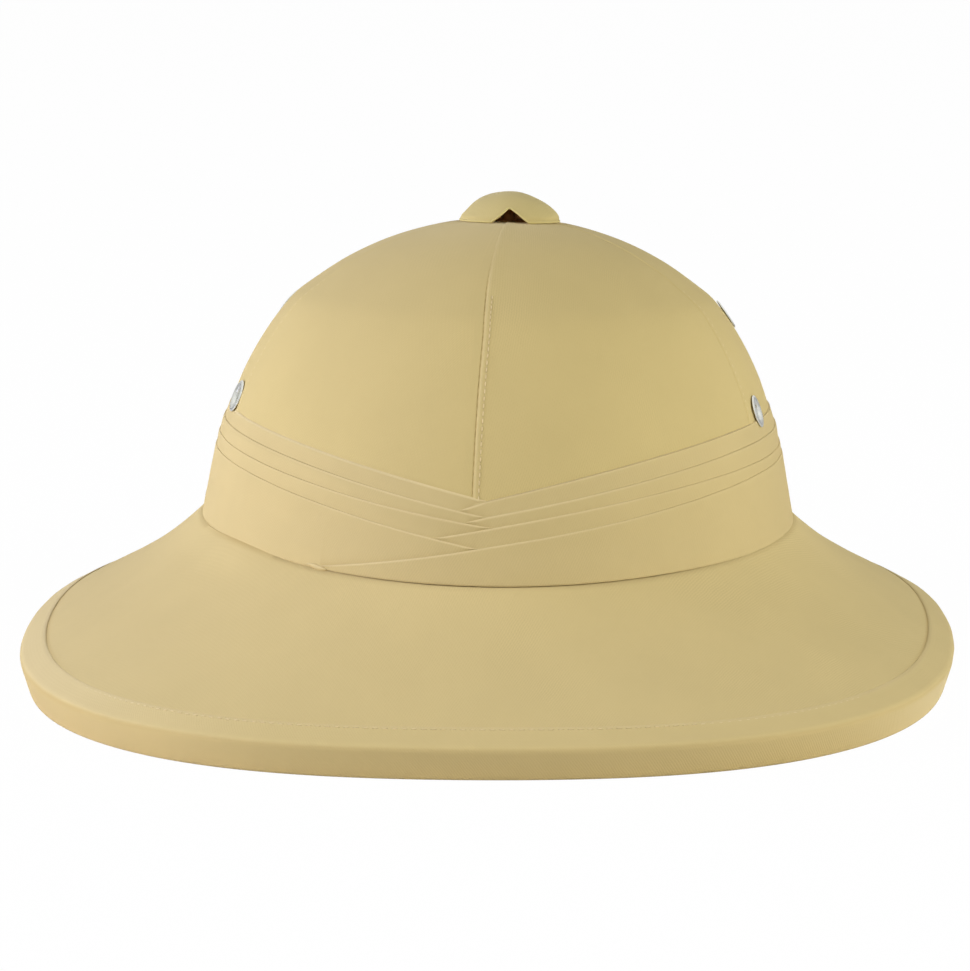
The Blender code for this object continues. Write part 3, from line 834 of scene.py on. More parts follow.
def stitch_shape(length, thickness):
    """One stitch, a short thread with both ends turned down into the cloth, along X."""
    select_only()
    bpy.ops.mesh.primitive_cylinder_add(vertices=6, radius=0.5 * thickness, depth=length,
                                        end_fill_type="TRIFAN")
    thread = bpy.context.object
    middle = 0.22 * length
    edit_all((bpy.ops.mesh.bisect, {"plane_co": (0, 0, middle), "plane_no": (0, 0, 1)}),
             (bpy.ops.mesh.bisect, {"plane_co": (0, 0, -middle), "plane_no": (0, 0, 1)}),
             (bpy.ops.transform.rotate, {"value": 0.5 * math.pi, "orient_axis": "Y",
                                         "center_override": (0, 0, 0)}))
    points, sunk = [], []
    for vert in thread.data.vertices:
        x, y, z = vert.co
        t = 2.0 * abs(x) / length
        points.append(Vector((x, y * (1.0 - 0.35 * t * t),
                              z * (1.0 - 0.25 * t) + thickness * (0.18 - 0.6 * t ** 3))))
        sunk.append(ramp(t, 0.35, 0.95))
    faces = [tuple(face.vertices) for face in thread.data.polygons]
    bpy.data.meshes.remove(thread.data)
    return points, faces, sunk


def sew(name, places, plain):
    """Copy a stitch to every place, given as matrices, in one mesh.

    Where plain, a function of the place, is 1, the stitch's sunk ends stay pale; elsewhere
    they get painted shade where the thread dips into the cloth."""
    sewing = bpy.context.scene.helmet_sewing
    points, faces, sunk = stitch_shape(sewing.stitch + 0.6 * sewing.gap, sewing.thread)
    verts, polygons, painted_shading = [], [], []
    for place in places:
        polygons += [tuple(len(verts) + i for i in face) for face in faces]
        verts += [place @ point for point in points]
        painted_shading += [(1.0 - plain(place.translation)) * tone for tone in sunk]
    mesh = bpy.data.meshes.new(name)
    mesh.from_pydata(verts, [], polygons)
    paint(mesh, sunk=painted_shading)
    finish_piece(new_object(name, mesh), [], thread_material())


def stitch_places(line, pitch, sway):
    """Frames at even steps along a line of (point, outward) pairs, in millimetres."""
    places = []
    travelled, target = 0.0, 0.5 * pitch
    for (a, na), (b, nb) in zip(line, line[1:]):
        step = (b - a).length
        while target <= travelled + step and step > 0.0:
            t = (target - travelled) / step
            centre = a.lerp(b, t)
            along = (b - a).normalized()
            side = na.lerp(nb, t).cross(along).normalized()
            up = along.cross(side)
            along = (along + side * sway * noise.noise(centre / 3.0)).normalized()
            places.append(frame_matrix(along, up.cross(along).normalized(), up, centre))
            target += pitch
        travelled += step
    return places


class HELMET_OT_crown_stitching(bpy.types.Operator):
    """Topstitching beside the crown's five seams"""
    bl_idname = "helmet.crown_stitching"
    bl_label = "Crown Stitching"

    def execute(self, context):
        sewing = context.scene.helmet_sewing
        offset = sewing.inset / MM
        lift = seam_relief(offset, sewing)[0] + STITCH_LIFT
        places = []
        for g in range(GORES):
            line = []
            for r, h, slope in crown_rows():
                if h < TOPSTITCH_FOOT or r < TOPSTITCH_END:
                    continue
                seam = seam_azimuth(g, h)
                azimuth = seam + offset / arc_per_degree(seam, h, r)
                normal = crown_normal(azimuth, h, r, slope)
                point = crown_surface(azimuth, h, 0.0, r)
                sunk = SIDE_STITCH_DEPTH if g else 0.0
                line.append((point + normal * (lift + crown_swell(point, h) - sunk), normal))
            places += stitch_places(line, (sewing.stitch + sewing.gap) / MM, TOPSTITCH_SWAY)
        sew("crown_topstitch", places,
            lambda place: float(abs(place.x) > FRONT_HALF_WIDTH * MM or place.y > 0.0))
        return {"FINISHED"}


# ---------------------------------------------------------------- brim and binding


def rim_frame(azimuth):
    """Start, inward direction, run, rise and tuck of the brim's slope in one column."""
    turn = Matrix.Rotation(math.radians(RIM_TURN), 2)
    foot = turn @ Vector(plan_point(azimuth, RIM_HALF_WIDTH, RIM_HALF_LENGTH, RIM_CORNER))
    corner = turn @ Vector(plan_point(azimuth, RIM_HALF_WIDTH + LIP_FLARE,
                                      RIM_HALF_LENGTH + LIP_FLARE, RIM_CORNER))
    top = crown_surface(azimuth, 0.0, BAND_FOOT)
    inward = (top.xy - corner).normalized()
    return (corner, inward, (top.xy - corner).length, top.z - LIP_HEIGHT,
            (foot - corner).dot(inward))


def slope_point(run, rise, t):
    """Point of the brim's slope, as (inward distance, z), from the lip's corner at t = 0."""
    g = (t ** 3 - 2 * t ** 2 + t) * BRIM_START_SLOPE
    g += -2 * t ** 3 + 3 * t ** 2 + (t ** 3 - t ** 2) * BRIM_END_SLOPE
    return run * t, LIP_HEIGHT + rise * g


def rim_line(run, rise, tuck):
    """Outer line of the rim from the lip's foot over its rounded corner to the margin's edge."""
    low, reach = 8.0, 2.4
    lean_in = tuck / LIP_HEIGHT
    line = [(tuck - lean_in * z, z) for z in LIP_ROWS]
    start = (lean_in * (LIP_HEIGHT - low), low)
    stop = slope_point(run, rise, reach / run)
    corner = (-0.3, LIP_HEIGHT + 0.25)
    for n in range(CORNER_STEPS + 1):
        t = n / CORNER_STEPS
        line.append(tuple((1 - t) ** 2 * start[c] + 2 * t * (1 - t) * corner[c]
                          + t * t * stop[c] for c in (0, 1)))
    margin = BINDING_MARGIN / math.hypot(1.0, rise / run * BRIM_START_SLOPE)
    for n in range(1, MARGIN_STEPS + 1):
        line.append(slope_point(run, rise, (reach + (margin - reach) * n / MARGIN_STEPS) / run))
    return line, margin / run


def placed(point, start, inward):
    return Vector((start.x + inward.x * point[0], start.y + inward.y * point[0], point[1]))


def signed(azimuth):
    """The same azimuth between -180 and 180 degrees."""
    return (azimuth + 180.0) % 360.0 - 180.0


def rim_side(azimuth):
    """1 at the sides and back, where the binding's edge stands open, and 0 in front."""
    return ramp(abs(signed(azimuth)), 55.0, 82.0)


def foot_front(azimuth):
    """1 in front, where the band's foot is turned under, and 0 at the sides."""
    return window(signed(azimuth), -42.0, -33.0, 34.0, 56.0)


def flat_weave(sections):
    """Cloth place of a corner seen straight from above, as on cloth cut flat."""
    def weave(j, side, i):
        point = sections[(j + side) % len(sections)][i % len(sections[0])]
        return (point.x * MM, point.y * MM)
    return weave


def strip_weave(sections):
    """Cloth place of a corner on a strip that runs round the hat."""
    around, up = [0.0], [0.0]
    for a, b in zip(sections, sections[1:] + sections[:1]):
        around.append(around[-1] + (b[0] - a[0]).length)
    for a, b in zip(sections[0], sections[0][1:] + sections[0][:1]):
        up.append(up[-1] + (b - a).length)
    return lambda j, side, i: (around[j + side] * MM, up[i] * MM)


class HELMET_OT_brim_cover(bpy.types.Operator):
    """Cloth-covered sloping brim"""
    bl_idname = "helmet.brim_cover"
    bl_label = "Brim Cover"

    def execute(self, context):
        sections, tone = [], []
        seat, last = BINDING_THICK + FIT_GAP, BRIM_ROWS
        inner = crown_radius(0.0) - CROWN_WALL
        longer = CROWN_PROFILE[0][0] * (CROWN_LENGTH_RATIO - 1.0)
        for azimuth in RIM_AZIMUTHS:
            side, front = rim_side(azimuth), foot_front(azimuth)
            start, inward, run, rise, tuck = rim_frame(azimuth)
            rim, margin = rim_line(run, rise, tuck)
            slope = [slope_point(run, rise, margin + (1.0 - margin) * n / last)
                     for n in range(last + 1)]
            hidden = offset_line(rim, seat)
            hidden[-1] = offset_line(rim, seat + 0.05)[-1]
            section = [placed(p, start, inward) for p in hidden]
            marks = [(0.0, 0.0)] * len(section)
            around = azimuth - 360.0 - FOOT_CORNER
            shade = 0.05 * front + 0.5 * bell(around, FOOT_SHADE_WIDTH)
            for n, p in enumerate(offset_line(slope, BINDING_PROUD)):
                point = placed(p, start, inward)
                wave = (0.35 * noise.noise(point / 55.0 + Vector((0.4, 2.2, 5.1)))
                        + 0.10 * noise.noise(point / 16.0))
                point.z += wave * window(n, 0, 3, 29, last)
                point.z += 0.26 * (1.0 - side) * (1.0 - ramp(n, 0, 3))
                point.z += 1.5 * bell(around, FOOT_RISE_WIDTH) * ramp(n, 28.0, last)
                section.append(point)
                # Painted shade: a thin line along the binding's open edge at the sides, and a
                # band where the brim meets the band's foot.
                marks.append((0.0, 0.8 * side * bell(n, 0.6) + shade * bell(n - last, 0.5)))
            for h in (-FIT_GAP, -FIT_GAP - BRIM_WALL):
                section.append(crown_point(azimuth, h, inner, inner + longer))
            under = offset_line(slope, BINDING_PROUD + BRIM_WALL)
            below = [under[n] for n in UNDER_ROWS] + offset_line(rim[:4], seat + LIP_WALL)[::-1]
            section += [placed(p, start, inward) for p in below]
            marks += [(0.0, 0.0)] * (len(section) - len(marks))
            sections.append(section)
            tone.append(marks)
        twill = cloth_material("brim_twill", context.scene.helmet_cloth.brim, 24.0)
        cover = ring_shell("brim_cover", sections, flat_weave(sections), tone)
        finish_piece(cover, ["brim"], twill, 50.0)
        return {"FINISHED"}


class HELMET_OT_rim_binding(bpy.types.Operator):
    """Cloth strip folded over the rim, with a turned inner edge"""
    bl_idname = "helmet.rim_binding"
    bl_label = "Rim Binding"

    @staticmethod
    def outline(run, rise, tuck):
        """Closed line round the strip, and the row of its inner edge."""
        rim, margin = rim_line(run, rise, tuck)
        inner_face = 2.0 * (BINDING_THICK + FIT_GAP) + LIP_WALL
        leg = offset_line(rim[:4], inner_face)
        leg_back = offset_line(rim[:4], inner_face - BINDING_THICK)
        back = offset_line(rim, BINDING_THICK)
        foot = [(leg[0][0], 0.9), (leg[0][0] - 0.35, 0.25), (leg[0][0] - 1.0, 0.0),
                (rim[0][0] + 1.0, 0.0), (rim[0][0] + 0.3, 0.25)]
        end = [rim[-1], slope_point(run, rise, margin + 0.42 / run)]
        line = foot + rim + [offset_line(end, 0.28)[1], offset_line(end, BINDING_THICK)[1]]
        line += back[:0:-1]
        line += [(back[0][0], BINDING_THICK + 0.1), (leg_back[0][0], BINDING_THICK + 0.1)]
        return line + [leg_back[1], leg_back[3], leg[3], leg[2], leg[1]], len(foot + rim) - 1

    @staticmethod
    def painted_shading(azimuth, rows, last):
        """Painted highlight and painted shade of every row, as light falls on each side: a paler
        margin on the left, a paler lip on the right, a darker lip in front, a pale inner edge
        and, at the sides, painted shade at the corner and beside the inner edge.
        """
        side, around = rim_side(azimuth), signed(azimuth)
        left = window(-around, 20.0, 60.0, 110.0, 150.0)
        far_left = ramp(-around, 62.0, 80.0)
        right = ramp(around, 35.0, 75.0)
        marks = []
        for n in range(rows):
            lip = 1.0 - ramp(n, 13.0, 15.0)
            corner = bell(n - 13.0, 1.8)
            crest = (0.25 + 0.1 * (1.0 - side)) * bell(n - last + 0.2, 0.6)
            crest += 0.8 * left * (1.0 - lip) + 1.4 * right * lip
            crease = lip * (0.22 + 0.06 * left - 0.2 * max(right, far_left))
            crease += 0.12 * corner * max(right, left) + 0.25 * side * bell(n - last - 1.0, 0.7)
            marks.append((crest * (1.0 - corner), crease))
        return marks

    def execute(self, context):
        sections, tone = [], []
        for azimuth in RIM_AZIMUTHS:
            start, inward, *shape = rim_frame(azimuth)
            outline, last = self.outline(*shape)
            wave = 0.22 * noise.noise(Vector((start.x, start.y, 0.0)) / 21.0)
            section = []
            for x, z in outline:
                out = wave * ramp(z, 1.0, 5.0) * (1.0 - ramp(x, 2.0, 7.0))
                section.append(placed((x - out, z), start, inward))
            sections.append(section)
            tone.append(self.painted_shading(azimuth, len(outline), last))
        twill = cloth_material("binding_twill", context.scene.helmet_cloth.binding, -34.0,
                               contrast=0.05)
        strip = ring_shell("brim_binding_strip", sections, strip_weave(sections), tone)
        finish_piece(strip, ["brim_binding"], twill, 60.0)
        return {"FINISHED"}


class HELMET_OT_rim_stitching(bpy.types.Operator):
    """Stitches along the binding's inner edge"""
    bl_idname = "helmet.rim_stitching"
    bl_label = "Rim Stitching"

    @staticmethod
    def plain(place):
        """1 at the sides, where the stitches lie in the shade of the binding's edge."""
        azimuth = math.degrees(math.atan2(place.x, -place.y))
        return max(0.75 * ramp(azimuth, 23.0, 27.0), ramp(abs(azimuth), 30.0, 52.0))

    def execute(self, context):
        sewing = context.scene.helmet_sewing
        line = []
        for n in range(1, round(360.0 / RIM_STITCH_STEP)):
            start, inward, run, rise, tuck = rim_frame(RIM_STITCH_START + n * RIM_STITCH_STEP)
            margin = BINDING_MARGIN / math.hypot(1.0, rise / run * BRIM_START_SLOPE)
            point, beyond = (placed(slope_point(run, rise, (margin - inset) / run), start, inward)
                             for inset in (RIM_STITCH_INSET, RIM_STITCH_INSET - 0.2))
            normal = Vector((-inward.y, inward.x, 0.0)).cross(beyond - point).normalized()
            if normal.z < 0.0:
                normal.negate()
            sunk = SIDE_STITCH_DEPTH + 0.03
            line.append((point + normal * (0.02 - sunk * self.plain(point)), normal))
        pitch = (sewing.stitch + sewing.gap) / MM + RIM_STITCH_SPARE
        sew("rim_stitches", stitch_places(line, pitch, RIM_STITCH_SWAY),
            self.plain)
        return {"FINISHED"}


# ---------------------------------------------------------------- pleated band


def pleat_height(azimuth, row, side, past):
    """Height of one pleat's folded edge; side is +1 for the +X side and -1 for the other."""
    height, drop, power = row
    along = side * (azimuth - BAND_CROSSING)
    if along < 0.0:
        return height - drop + past * along
    return height - drop * max(0.0, 1.0 - along / BAND_SPAN) ** power


def band_folds(azimuth):
    """Eight folds of a column from the top one down, as (height, how far it stands out).

    Each pair is a pleat of the left side and one of the right side. The higher of the two
    shows, and past the crossing a right pleat still shows until the next left one covers it.
    Towards the back the two rows of a pair trade places, so that both sides meet there."""
    back = ramp(abs(azimuth), 140.0, 180.0)
    trade = ramp(-azimuth, 120.0, 140.0)
    left, right = [], []
    for row_left, row_right, past in zip(PLEATS_LEFT, PLEATS_RIGHT, PAST_SLOPES):
        mean = 0.5 * (row_left[0] + row_right[0])
        for heights, row, side in ((left, row_left, -1.0), (right, row_right, 1.0)):
            height = pleat_height(azimuth, row, side, past)
            heights.append(height * (1.0 - back) + mean * back)
    folds = []
    for k in range(4):
        if azimuth < -90.0:
            under = left[k + 1] if k < 3 else 0.4
            climb = ramp(-azimuth, 90.0, 118.0)
            low = under + 0.04 + (left[k] - under - 0.08) * climb
            folds += [(left[k], 1.0 - trade), (low, trade)]
            continue
        under = max(left[k + 1], right[k + 1]) if k < 3 else 0.4
        low = max(right[k], under + 0.04)
        folds += [(max(left[k], low + 0.04), ramp(left[k] - right[k], 0.0, 0.3)),
                  (low, ramp(right[k] - under, 0.1, 0.9))]
    return folds


def band_azimuths():
    """Columns of the band, finer where the two sides cross at the front."""
    azimuths, a = [], -180.0
    while a < 180.0 - 1e-6:
        azimuths.append(a)
        if -38.0 <= a < -31.0:
            a += 0.25
        else:
            a += 0.5 if -31.0 <= a < 6.0 else 1.0
    return azimuths


def band_rows(azimuth, step):
    """(height, distance from the crown, painted highlight, painted shade) up the band's outer
    face.

    In front a fold shows as a painted highlight on its edge with soft painted shade over it, and
    at the sides as a thin painted shade line. The top edge gets a stronger painted highlight, and
    the foot painted shade where it meets the brim."""
    folds = band_folds(azimuth)
    side = ramp(abs(azimuth), 18.0, 48.0)
    front = foot_front(azimuth)
    foot = BAND_FOOT - 0.7 * ramp(abs(azimuth), 52.0, 78.0)
    edge = folds[0][0]

    def base(h):
        return (BAND_BASE + (foot - BAND_BASE) * (1.0 - ramp(h, 0.0, 14.0))
                - 0.65 * ramp(h, edge - 7.0, edge))

    # Painted shade in the crevice at the band's foot: strongest in the middle of the front and at
    # the foot's left corner, fading out at the sides.
    shade = 1.0 - ramp(abs(azimuth), 50.0, 66.0)
    middle = bell(azimuth - 2.0, 24.0)
    corner = 0.5 * bell(azimuth - FOOT_CORNER, FOOT_SHADE_WIDTH)
    rows = [(-0.25 * (1.0 - front), foot - 0.1 - 0.05 * front, 0.0,
             (0.04 + 0.34 * middle) * shade + corner),
            (0.2 + 0.1 * front, foot - 0.02 - 0.03 * front, 0.0,
             (0.05 + 0.15 * middle) * shade + corner),
            (0.65, base(1.0), 0.1, 0.6 * corner)]
    floor, lean_out, line = rows[-1][0], 0.0, 0.0
    for k in reversed(range(8)):
        fold, weight = folds[k]
        gap = max(0.01, fold - floor)
        small = min(0.5, gap / 3.0)
        upper = next((folds[i][0] for i in range(k, -1, -1) if folds[i][1] > 0.5), fold)
        natural = lean_out + (1.0 - lean_out) * min(1.0, gap / max(0.01, upper - floor))
        top = natural + (1.0 - natural) * weight
        count = 12 if k >= 6 else 6
        for n in range(1, count + 1):
            t = 0.5 - 0.5 * math.cos(math.pi * n / (count + 1.0))
            h = floor + (gap - small) * t
            out = base(h) + step * (lean_out + (top - lean_out) * t)
            rows.append((h, out, 0.0, line * math.exp((floor - h) / (1.3 - 1.05 * side))))
        proud = base(fold) + step * top
        sunk = base(fold) + step * natural * (1.0 - weight) if k else 0.04
        # A fold's painted highlight, weaker at the sides, and the painted shade line over it,
        # stronger at the sides; the top edge's painted highlight is stronger on the right of the
        # front.
        crest = weight * (1.0 - 0.75 * side)
        line = weight * (0.12 + 0.42 * side)
        if k == 0:
            crest = 1.0 + 0.6 * window(azimuth, 0.0, 15.0, 60.0, 80.0)
        for down, share, pale, dark in FOLD_EDGE if k else TOP_EDGE:
            rows.append((fold - small * down, proud - share * (proud - sunk), pale * crest,
                         dark * line))
        floor, lean_out = fold, natural * (1.0 - weight)
    return rows + [(fold, sunk, 1.4, 0.0)]


class HELMET_OT_pleated_band(bpy.types.Operator):
    """Pleated cloth band round the crown's foot, its sides crossing at the front"""
    bl_idname = "helmet.pleated_band"
    bl_label = "Pleated Band"

    def execute(self, context):
        step = context.scene.helmet_sewing.pleat / MM
        azimuths = band_azimuths()
        sections, tone = [], []
        for azimuth in azimuths:
            rows = band_rows(azimuth, step)
            top = rows[-1][0]
            section = []
            for h, out, crest, crease in rows:
                upper = ramp(h, top - 12.0, top)
                out += crown_swell(crown_surface(azimuth, h), h) * upper
                soft = 0.22 * noise.noise(Vector((azimuth / 8.0, h / 7.0, 2.0)))
                soft *= ramp(h, 1.0, 6.0) * (1.0 - upper)
                dent = 0.3 * bell(abs(azimuth) - DENT_AZIMUTH, 4.0)
                soft -= dent * ramp(h, top - 5.0, top - 1.0)
                point = crown_surface(azimuth, h, out)
                section.append(point + Vector((point.x, point.y, 0.0)).normalized() * soft)
            section += [crown_surface(azimuth, part * top, BAND_GAP)
                        for part in (0.98, 0.75, 0.5, 0.25, 0.0)]
            marks = [row[2:] for row in rows]
            sections.append(section)
            tone.append(marks + [(0.0, 0.0)] * (len(section) - len(marks)))
        foot = [crown_surface(azimuth, 10.0, 1.0) for azimuth in azimuths + [180.0]]
        arcs = [0.0]
        for a, b in zip(foot, foot[1:]):
            arcs.append(arcs[-1] + (b - a).length)

        def weave(j, side, i):
            """The band's cloth lies flat round the hat and hangs straight down."""
            section = sections[(j + side) % len(sections)]
            return (arcs[j + side] * MM, section[i % len(section)].z * MM)

        twill = cloth_material("band_twill", context.scene.helmet_cloth.band, 30.0,
                               contrast=0.055)
        band = ring_shell("pugaree_band", sections, weave, tone)
        finish_piece(band, ["pugaree"], twill, 75.0)
        self.fold_end(twill)
        return {"FINISHED"}

    def fold_end(self, twill):
        """Bunched end of the lowest right pleat, where it runs out over the band's foot."""
        count, around = 14, 12
        sections, painted_highlights, painted_shades = [], [], []
        for j in range(count + 1):
            t = j / count
            azimuth = BAND_END[0] + (BAND_END[1] - BAND_END[0]) * t
            swell = math.sin(math.pi * min(1.0, 0.04 + 0.92 * t)) ** 0.7
            middle = 0.6 - 0.5 * ramp(t, 0.0, 0.8)
            section = []
            for i in range(around):
                a = 2.0 * math.pi * i / around
                out = BAND_FOOT + 0.62 * swell * math.sin(a) - 0.12 + 0.25 * swell * math.cos(a)
                section.append(crown_surface(azimuth, middle + 0.9 * swell * math.cos(a), out))
                # Painted highlight along the end's upper side and painted shade along its
                # underside.
                painted_highlights.append(0.8 * bell(a - 0.9, 0.7) * swell)
                painted_shades.append(0.5 * bell(a - 3.0, 0.8))
            sections.append(section)
        end = closed_tube("band_fold_end", sections)
        paint(end.data, crest=painted_highlights, crease=painted_shades)
        layer = end.data.uv_layers.new(name="weave")
        for loop in end.data.loops:
            point = end.data.vertices[loop.vertex_index].co
            layer.data[loop.index].uv = (point.x, point.z)
        finish_piece(end, [], twill)


# ---------------------------------------------------------------- vent cap and metal


def cap_radius(z):
    """Radius of the cap's outer surface at a height over its lip."""
    t = min(1.0, max(0.0, z / CAP_HEIGHT))
    full = CAP_RADIUS * (0.978 + 0.02 * bell(t, 0.3)) * math.sqrt(
        max(0.0, 1.0 - t ** (1.0 / CAP_FULLNESS)))
    return full - 0.55 * (1.0 - ramp(z, 0.3, 2.0))


def cap_sway(z):
    """How far the dome leans aside at a height over its lip."""
    return 0.3 * ramp(z, 0.2, 3.0) - 0.65 * ramp(z, 3.0, 8.5)


def notch_skew(z):
    """How far a notch leans aside at a height over the lip."""
    return NOTCH_SKEW * max(0.0, z) / NOTCH_LINE[-1][1]


def notch_cutter(azimuth):
    """Body that cuts one notch into the cap's lip."""
    turn = rotation(azimuth, "Z", 3)
    outline = [(-x, z) for x, z in NOTCH_LINE] + [(x, z) for x, z in NOTCH_LINE[-2::-1]]
    return closed_tube("notch", [[turn @ Vector((x + notch_skew(z), y, z)) for x, z in outline]
                                 for y in NOTCH_REACH])


def hem_path():
    """Closed line along the cap's lip and up and down its notches, in the cap's frame."""
    (x0, z0), (x1, z1), apex = NOTCH_LINE
    foot = x0 + (x1 - x0) * (0.0 - z0) / (z1 - z0)
    side = [(foot, 0.0), (0.5 * (foot + x1), 0.5 * z1), (x1, z1), (0.3 * x1, apex[1] - 0.25)]
    climb = [(-x, z) for x, z in side] + side[::-1]
    climb = even_line(smooth_line(climb, 6), 0.5)
    lip = cap_radius(0.0)
    edge = math.degrees(math.asin(foot / lip))
    points = []
    notches = sorted(CAP_NOTCHES)
    for azimuth, after in zip(notches, notches[1:] + [notches[0] + 360.0]):
        turn = rotation(azimuth, "Z", 3)
        for x, z in climb:
            x += notch_skew(z)
            y = -math.sqrt(max(0.0, cap_radius(z) ** 2 - x * x))
            points.append(turn @ Vector((x, y, max(HEM_LIFT, z))) + Vector((cap_sway(z), 0, 0)))
        for n in range(1, HEM_STEPS):
            a = math.radians(azimuth + edge + (after - azimuth - 2.0 * edge) * n / HEM_STEPS)
            points.append(Vector((lip * math.sin(a), -lip * math.cos(a), HEM_LIFT)))
    return points


class HELMET_OT_vent_cap(bpy.types.Operator):
    """Cloth-covered domed cap over the vent, with three notches and a rolled edge"""
    bl_idname = "helmet.vent_cap"
    bl_label = "Vent Cap"

    def dome(self):
        """Hollow notched dome; its points hold how far they lie inside."""
        select_only()
        bpy.ops.mesh.primitive_uv_sphere_add(segments=144, ring_count=56, radius=1.0)
        cap = bpy.context.object
        cap.name = cap.data.name = "vent_cap_cover"
        edit_all((bpy.ops.mesh.bisect, {"plane_co": (0, 0, 0.002), "plane_no": (0, 0, 1),
                                        "clear_inner": True}),
                 (bpy.ops.transform.resize, {
                     "value": (CAP_RADIUS * MM, CAP_RADIUS * MM, CAP_HEIGHT * MM),
                     "center_override": (0, 0, 0)}))
        for vert in cap.data.vertices:
            r = min(1.0, math.hypot(vert.co.x, vert.co.y) / (CAP_RADIUS * MM))
            z = CAP_HEIGHT * max(0.0, 1.0 - r * r) ** CAP_FULLNESS
            grow = cap_radius(z) / (CAP_RADIUS * max(r, 0.001)) if r > 0.3 else 0.978
            soft = 0.12 * noise.noise(Vector((vert.co.x, vert.co.y, 0.0)) / (6.0 * MM))
            vert.co = (vert.co.x * grow + cap_sway(z) * MM, vert.co.y * grow,
                       (z + soft * ramp(z, 1.0, 4.0)) * MM)
        apply_modifier(cap, "SOLIDIFY", thickness=CAP_WALL * MM, offset=-1.0)
        for azimuth in CAP_NOTCHES:
            cut(cap, notch_cutter(azimuth))
        apply_modifier(cap, "BEVEL", width=0.22 * MM, segments=2, limit_method="ANGLE",
                       angle_limit=math.radians(50.0))
        inner_height = CAP_HEIGHT - 0.8 * CAP_WALL
        inside = []
        for vert in cap.data.vertices:
            x, y, z = vert.co / MM
            depth = cap_radius(z * CAP_HEIGHT / inner_height) - 0.8 * CAP_WALL
            inside.append(float(math.hypot(x - cap_sway(z), y) < depth
                                and z < CAP_HEIGHT - CAP_WALL))
        paint(cap.data, inside=inside)
        return cap

    def rolled_edge(self):
        """Round hem along the cap's lip and notches."""
        line = bpy.data.curves.new("vent_cap_hem", "CURVE")
        line.dimensions = "3D"
        line.bevel_depth, line.bevel_resolution = HEM_RADIUS * MM, 3
        spline = line.splines.new("POLY")
        path = hem_path()
        spline.points.add(len(path) - 1)
        for point, place in zip(spline.points, path):
            point.co = (*(place * MM), 1.0)
        spline.use_cyclic_u = True
        select_only(new_object("vent_cap_hem", line))
        bpy.ops.object.convert(target="MESH")
        hem = bpy.context.object
        hem.data.name = "vent_cap_hem"
        return hem

    def execute(self, context):
        cloth = context.scene.helmet_cloth
        cap, hem = self.dome(), self.rolled_edge()
        seat = (Matrix.Translation(lean(0.0, 0.0, CROWN_HEIGHT) * MM) @ rotation(ROLL, "Y")
                @ rotation(-BEND_BACK, "X")
                @ Matrix.Translation(Vector((CAP_SHIFT, 0.0, CAP_LIFT)) * MM))
        settle(cap, seat)
        settle(hem, seat)
        finish_piece(cap, ["vent_cap"],
                     cloth_material("cap_twill", cloth.cap, 20.0, uv=False,
                                    inside=cloth.inside), 60.0)
        finish_piece(hem, [], cloth_material("hem_twill", cloth.hem, 20.0, uv=False))
        return {"FINISHED"}


class HELMET_OT_stud_finish(bpy.types.Operator):
    """Dull brass finish of the stud under the vent cap"""
    bl_idname = "helmet.stud_finish"
    bl_label = "Stud Finish"

    def execute(self, context):
        colour = context.scene.helmet_metal.stud
        brass = metal_material("stud_brass", colour, (0.07, 0.035, 0.015), 0.7, 0.2)
        for material_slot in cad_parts["cap_stud"].material_slots:
            material_slot.material = brass
        return {"FINISHED"}


def eyelet_matrix(azimuth, height, lift, tilt):
    """Frame on the crown's surface: X along the hat, Y up the wall and Z outwards."""
    along = (crown_surface(azimuth + 1.0, height)
             - crown_surface(azimuth - 1.0, height)).normalized()
    up = crown_surface(azimuth, height + 2.0) - crown_surface(azimuth, height - 2.0)
    out = along.cross(up).normalized()
    centre = crown_surface(azimuth, height) + out * lift
    return frame_matrix(along, out.cross(along).normalized(), out, centre) @ rotation(-tilt, "X")


class HELMET_OT_eyelets(bpy.types.Operator):
    """Four rolled metal eyelets in the crown's sides"""
    bl_idname = "helmet.eyelets"
    bl_label = "Eyelets"

    def execute(self, context):
        metal = context.scene.helmet_metal
        nickel = metal_material("eyelet_nickel", metal.eyelet, (0.34, 0.35, 0.28), 0.3, 0.74)
        for name, azimuth, height, lift, tilt, turn in EYELET_ROWS:
            clinch = -CROWN_WALL - lift - 4.0 * math.sin(math.radians(tilt)) - 0.2 - FIT_GAP
            start = {"flange": (metal.flange / MM, 0.08), "bore": (EYELET_BORE, 0.08),
                     "clinch": (EYELET_BORE, clinch)}
            outline = [(start[part][0] + out, start[part][1] + up)
                       for part, out, up in EYELET_LINE]
            mesh = bpy.data.meshes.new(name)
            mesh.from_pydata([(r * MM, 0.0, z * MM) for r, z in outline],
                             [(i, (i + 1) % len(outline)) for i in range(len(outline))], [])
            ring = new_object(name + "_ring", mesh)
            select_only(ring)
            edit_all((bpy.ops.mesh.spin, {"steps": 72, "angle": 2.0 * math.pi,
                                          "center": (0, 0, 0), "axis": (0, 0, 1)}),
                     (bpy.ops.mesh.remove_doubles, {"threshold": 0.000004}),
                     (bpy.ops.mesh.normals_make_consistent, {"inside": False}))
            settle(ring, eyelet_matrix(azimuth, height, lift, tilt) @ rotation(turn, "Y"))
            finish_piece(ring, [name], nickel)
        return {"FINISHED"}


# ---------------------------------------------------------------- studio


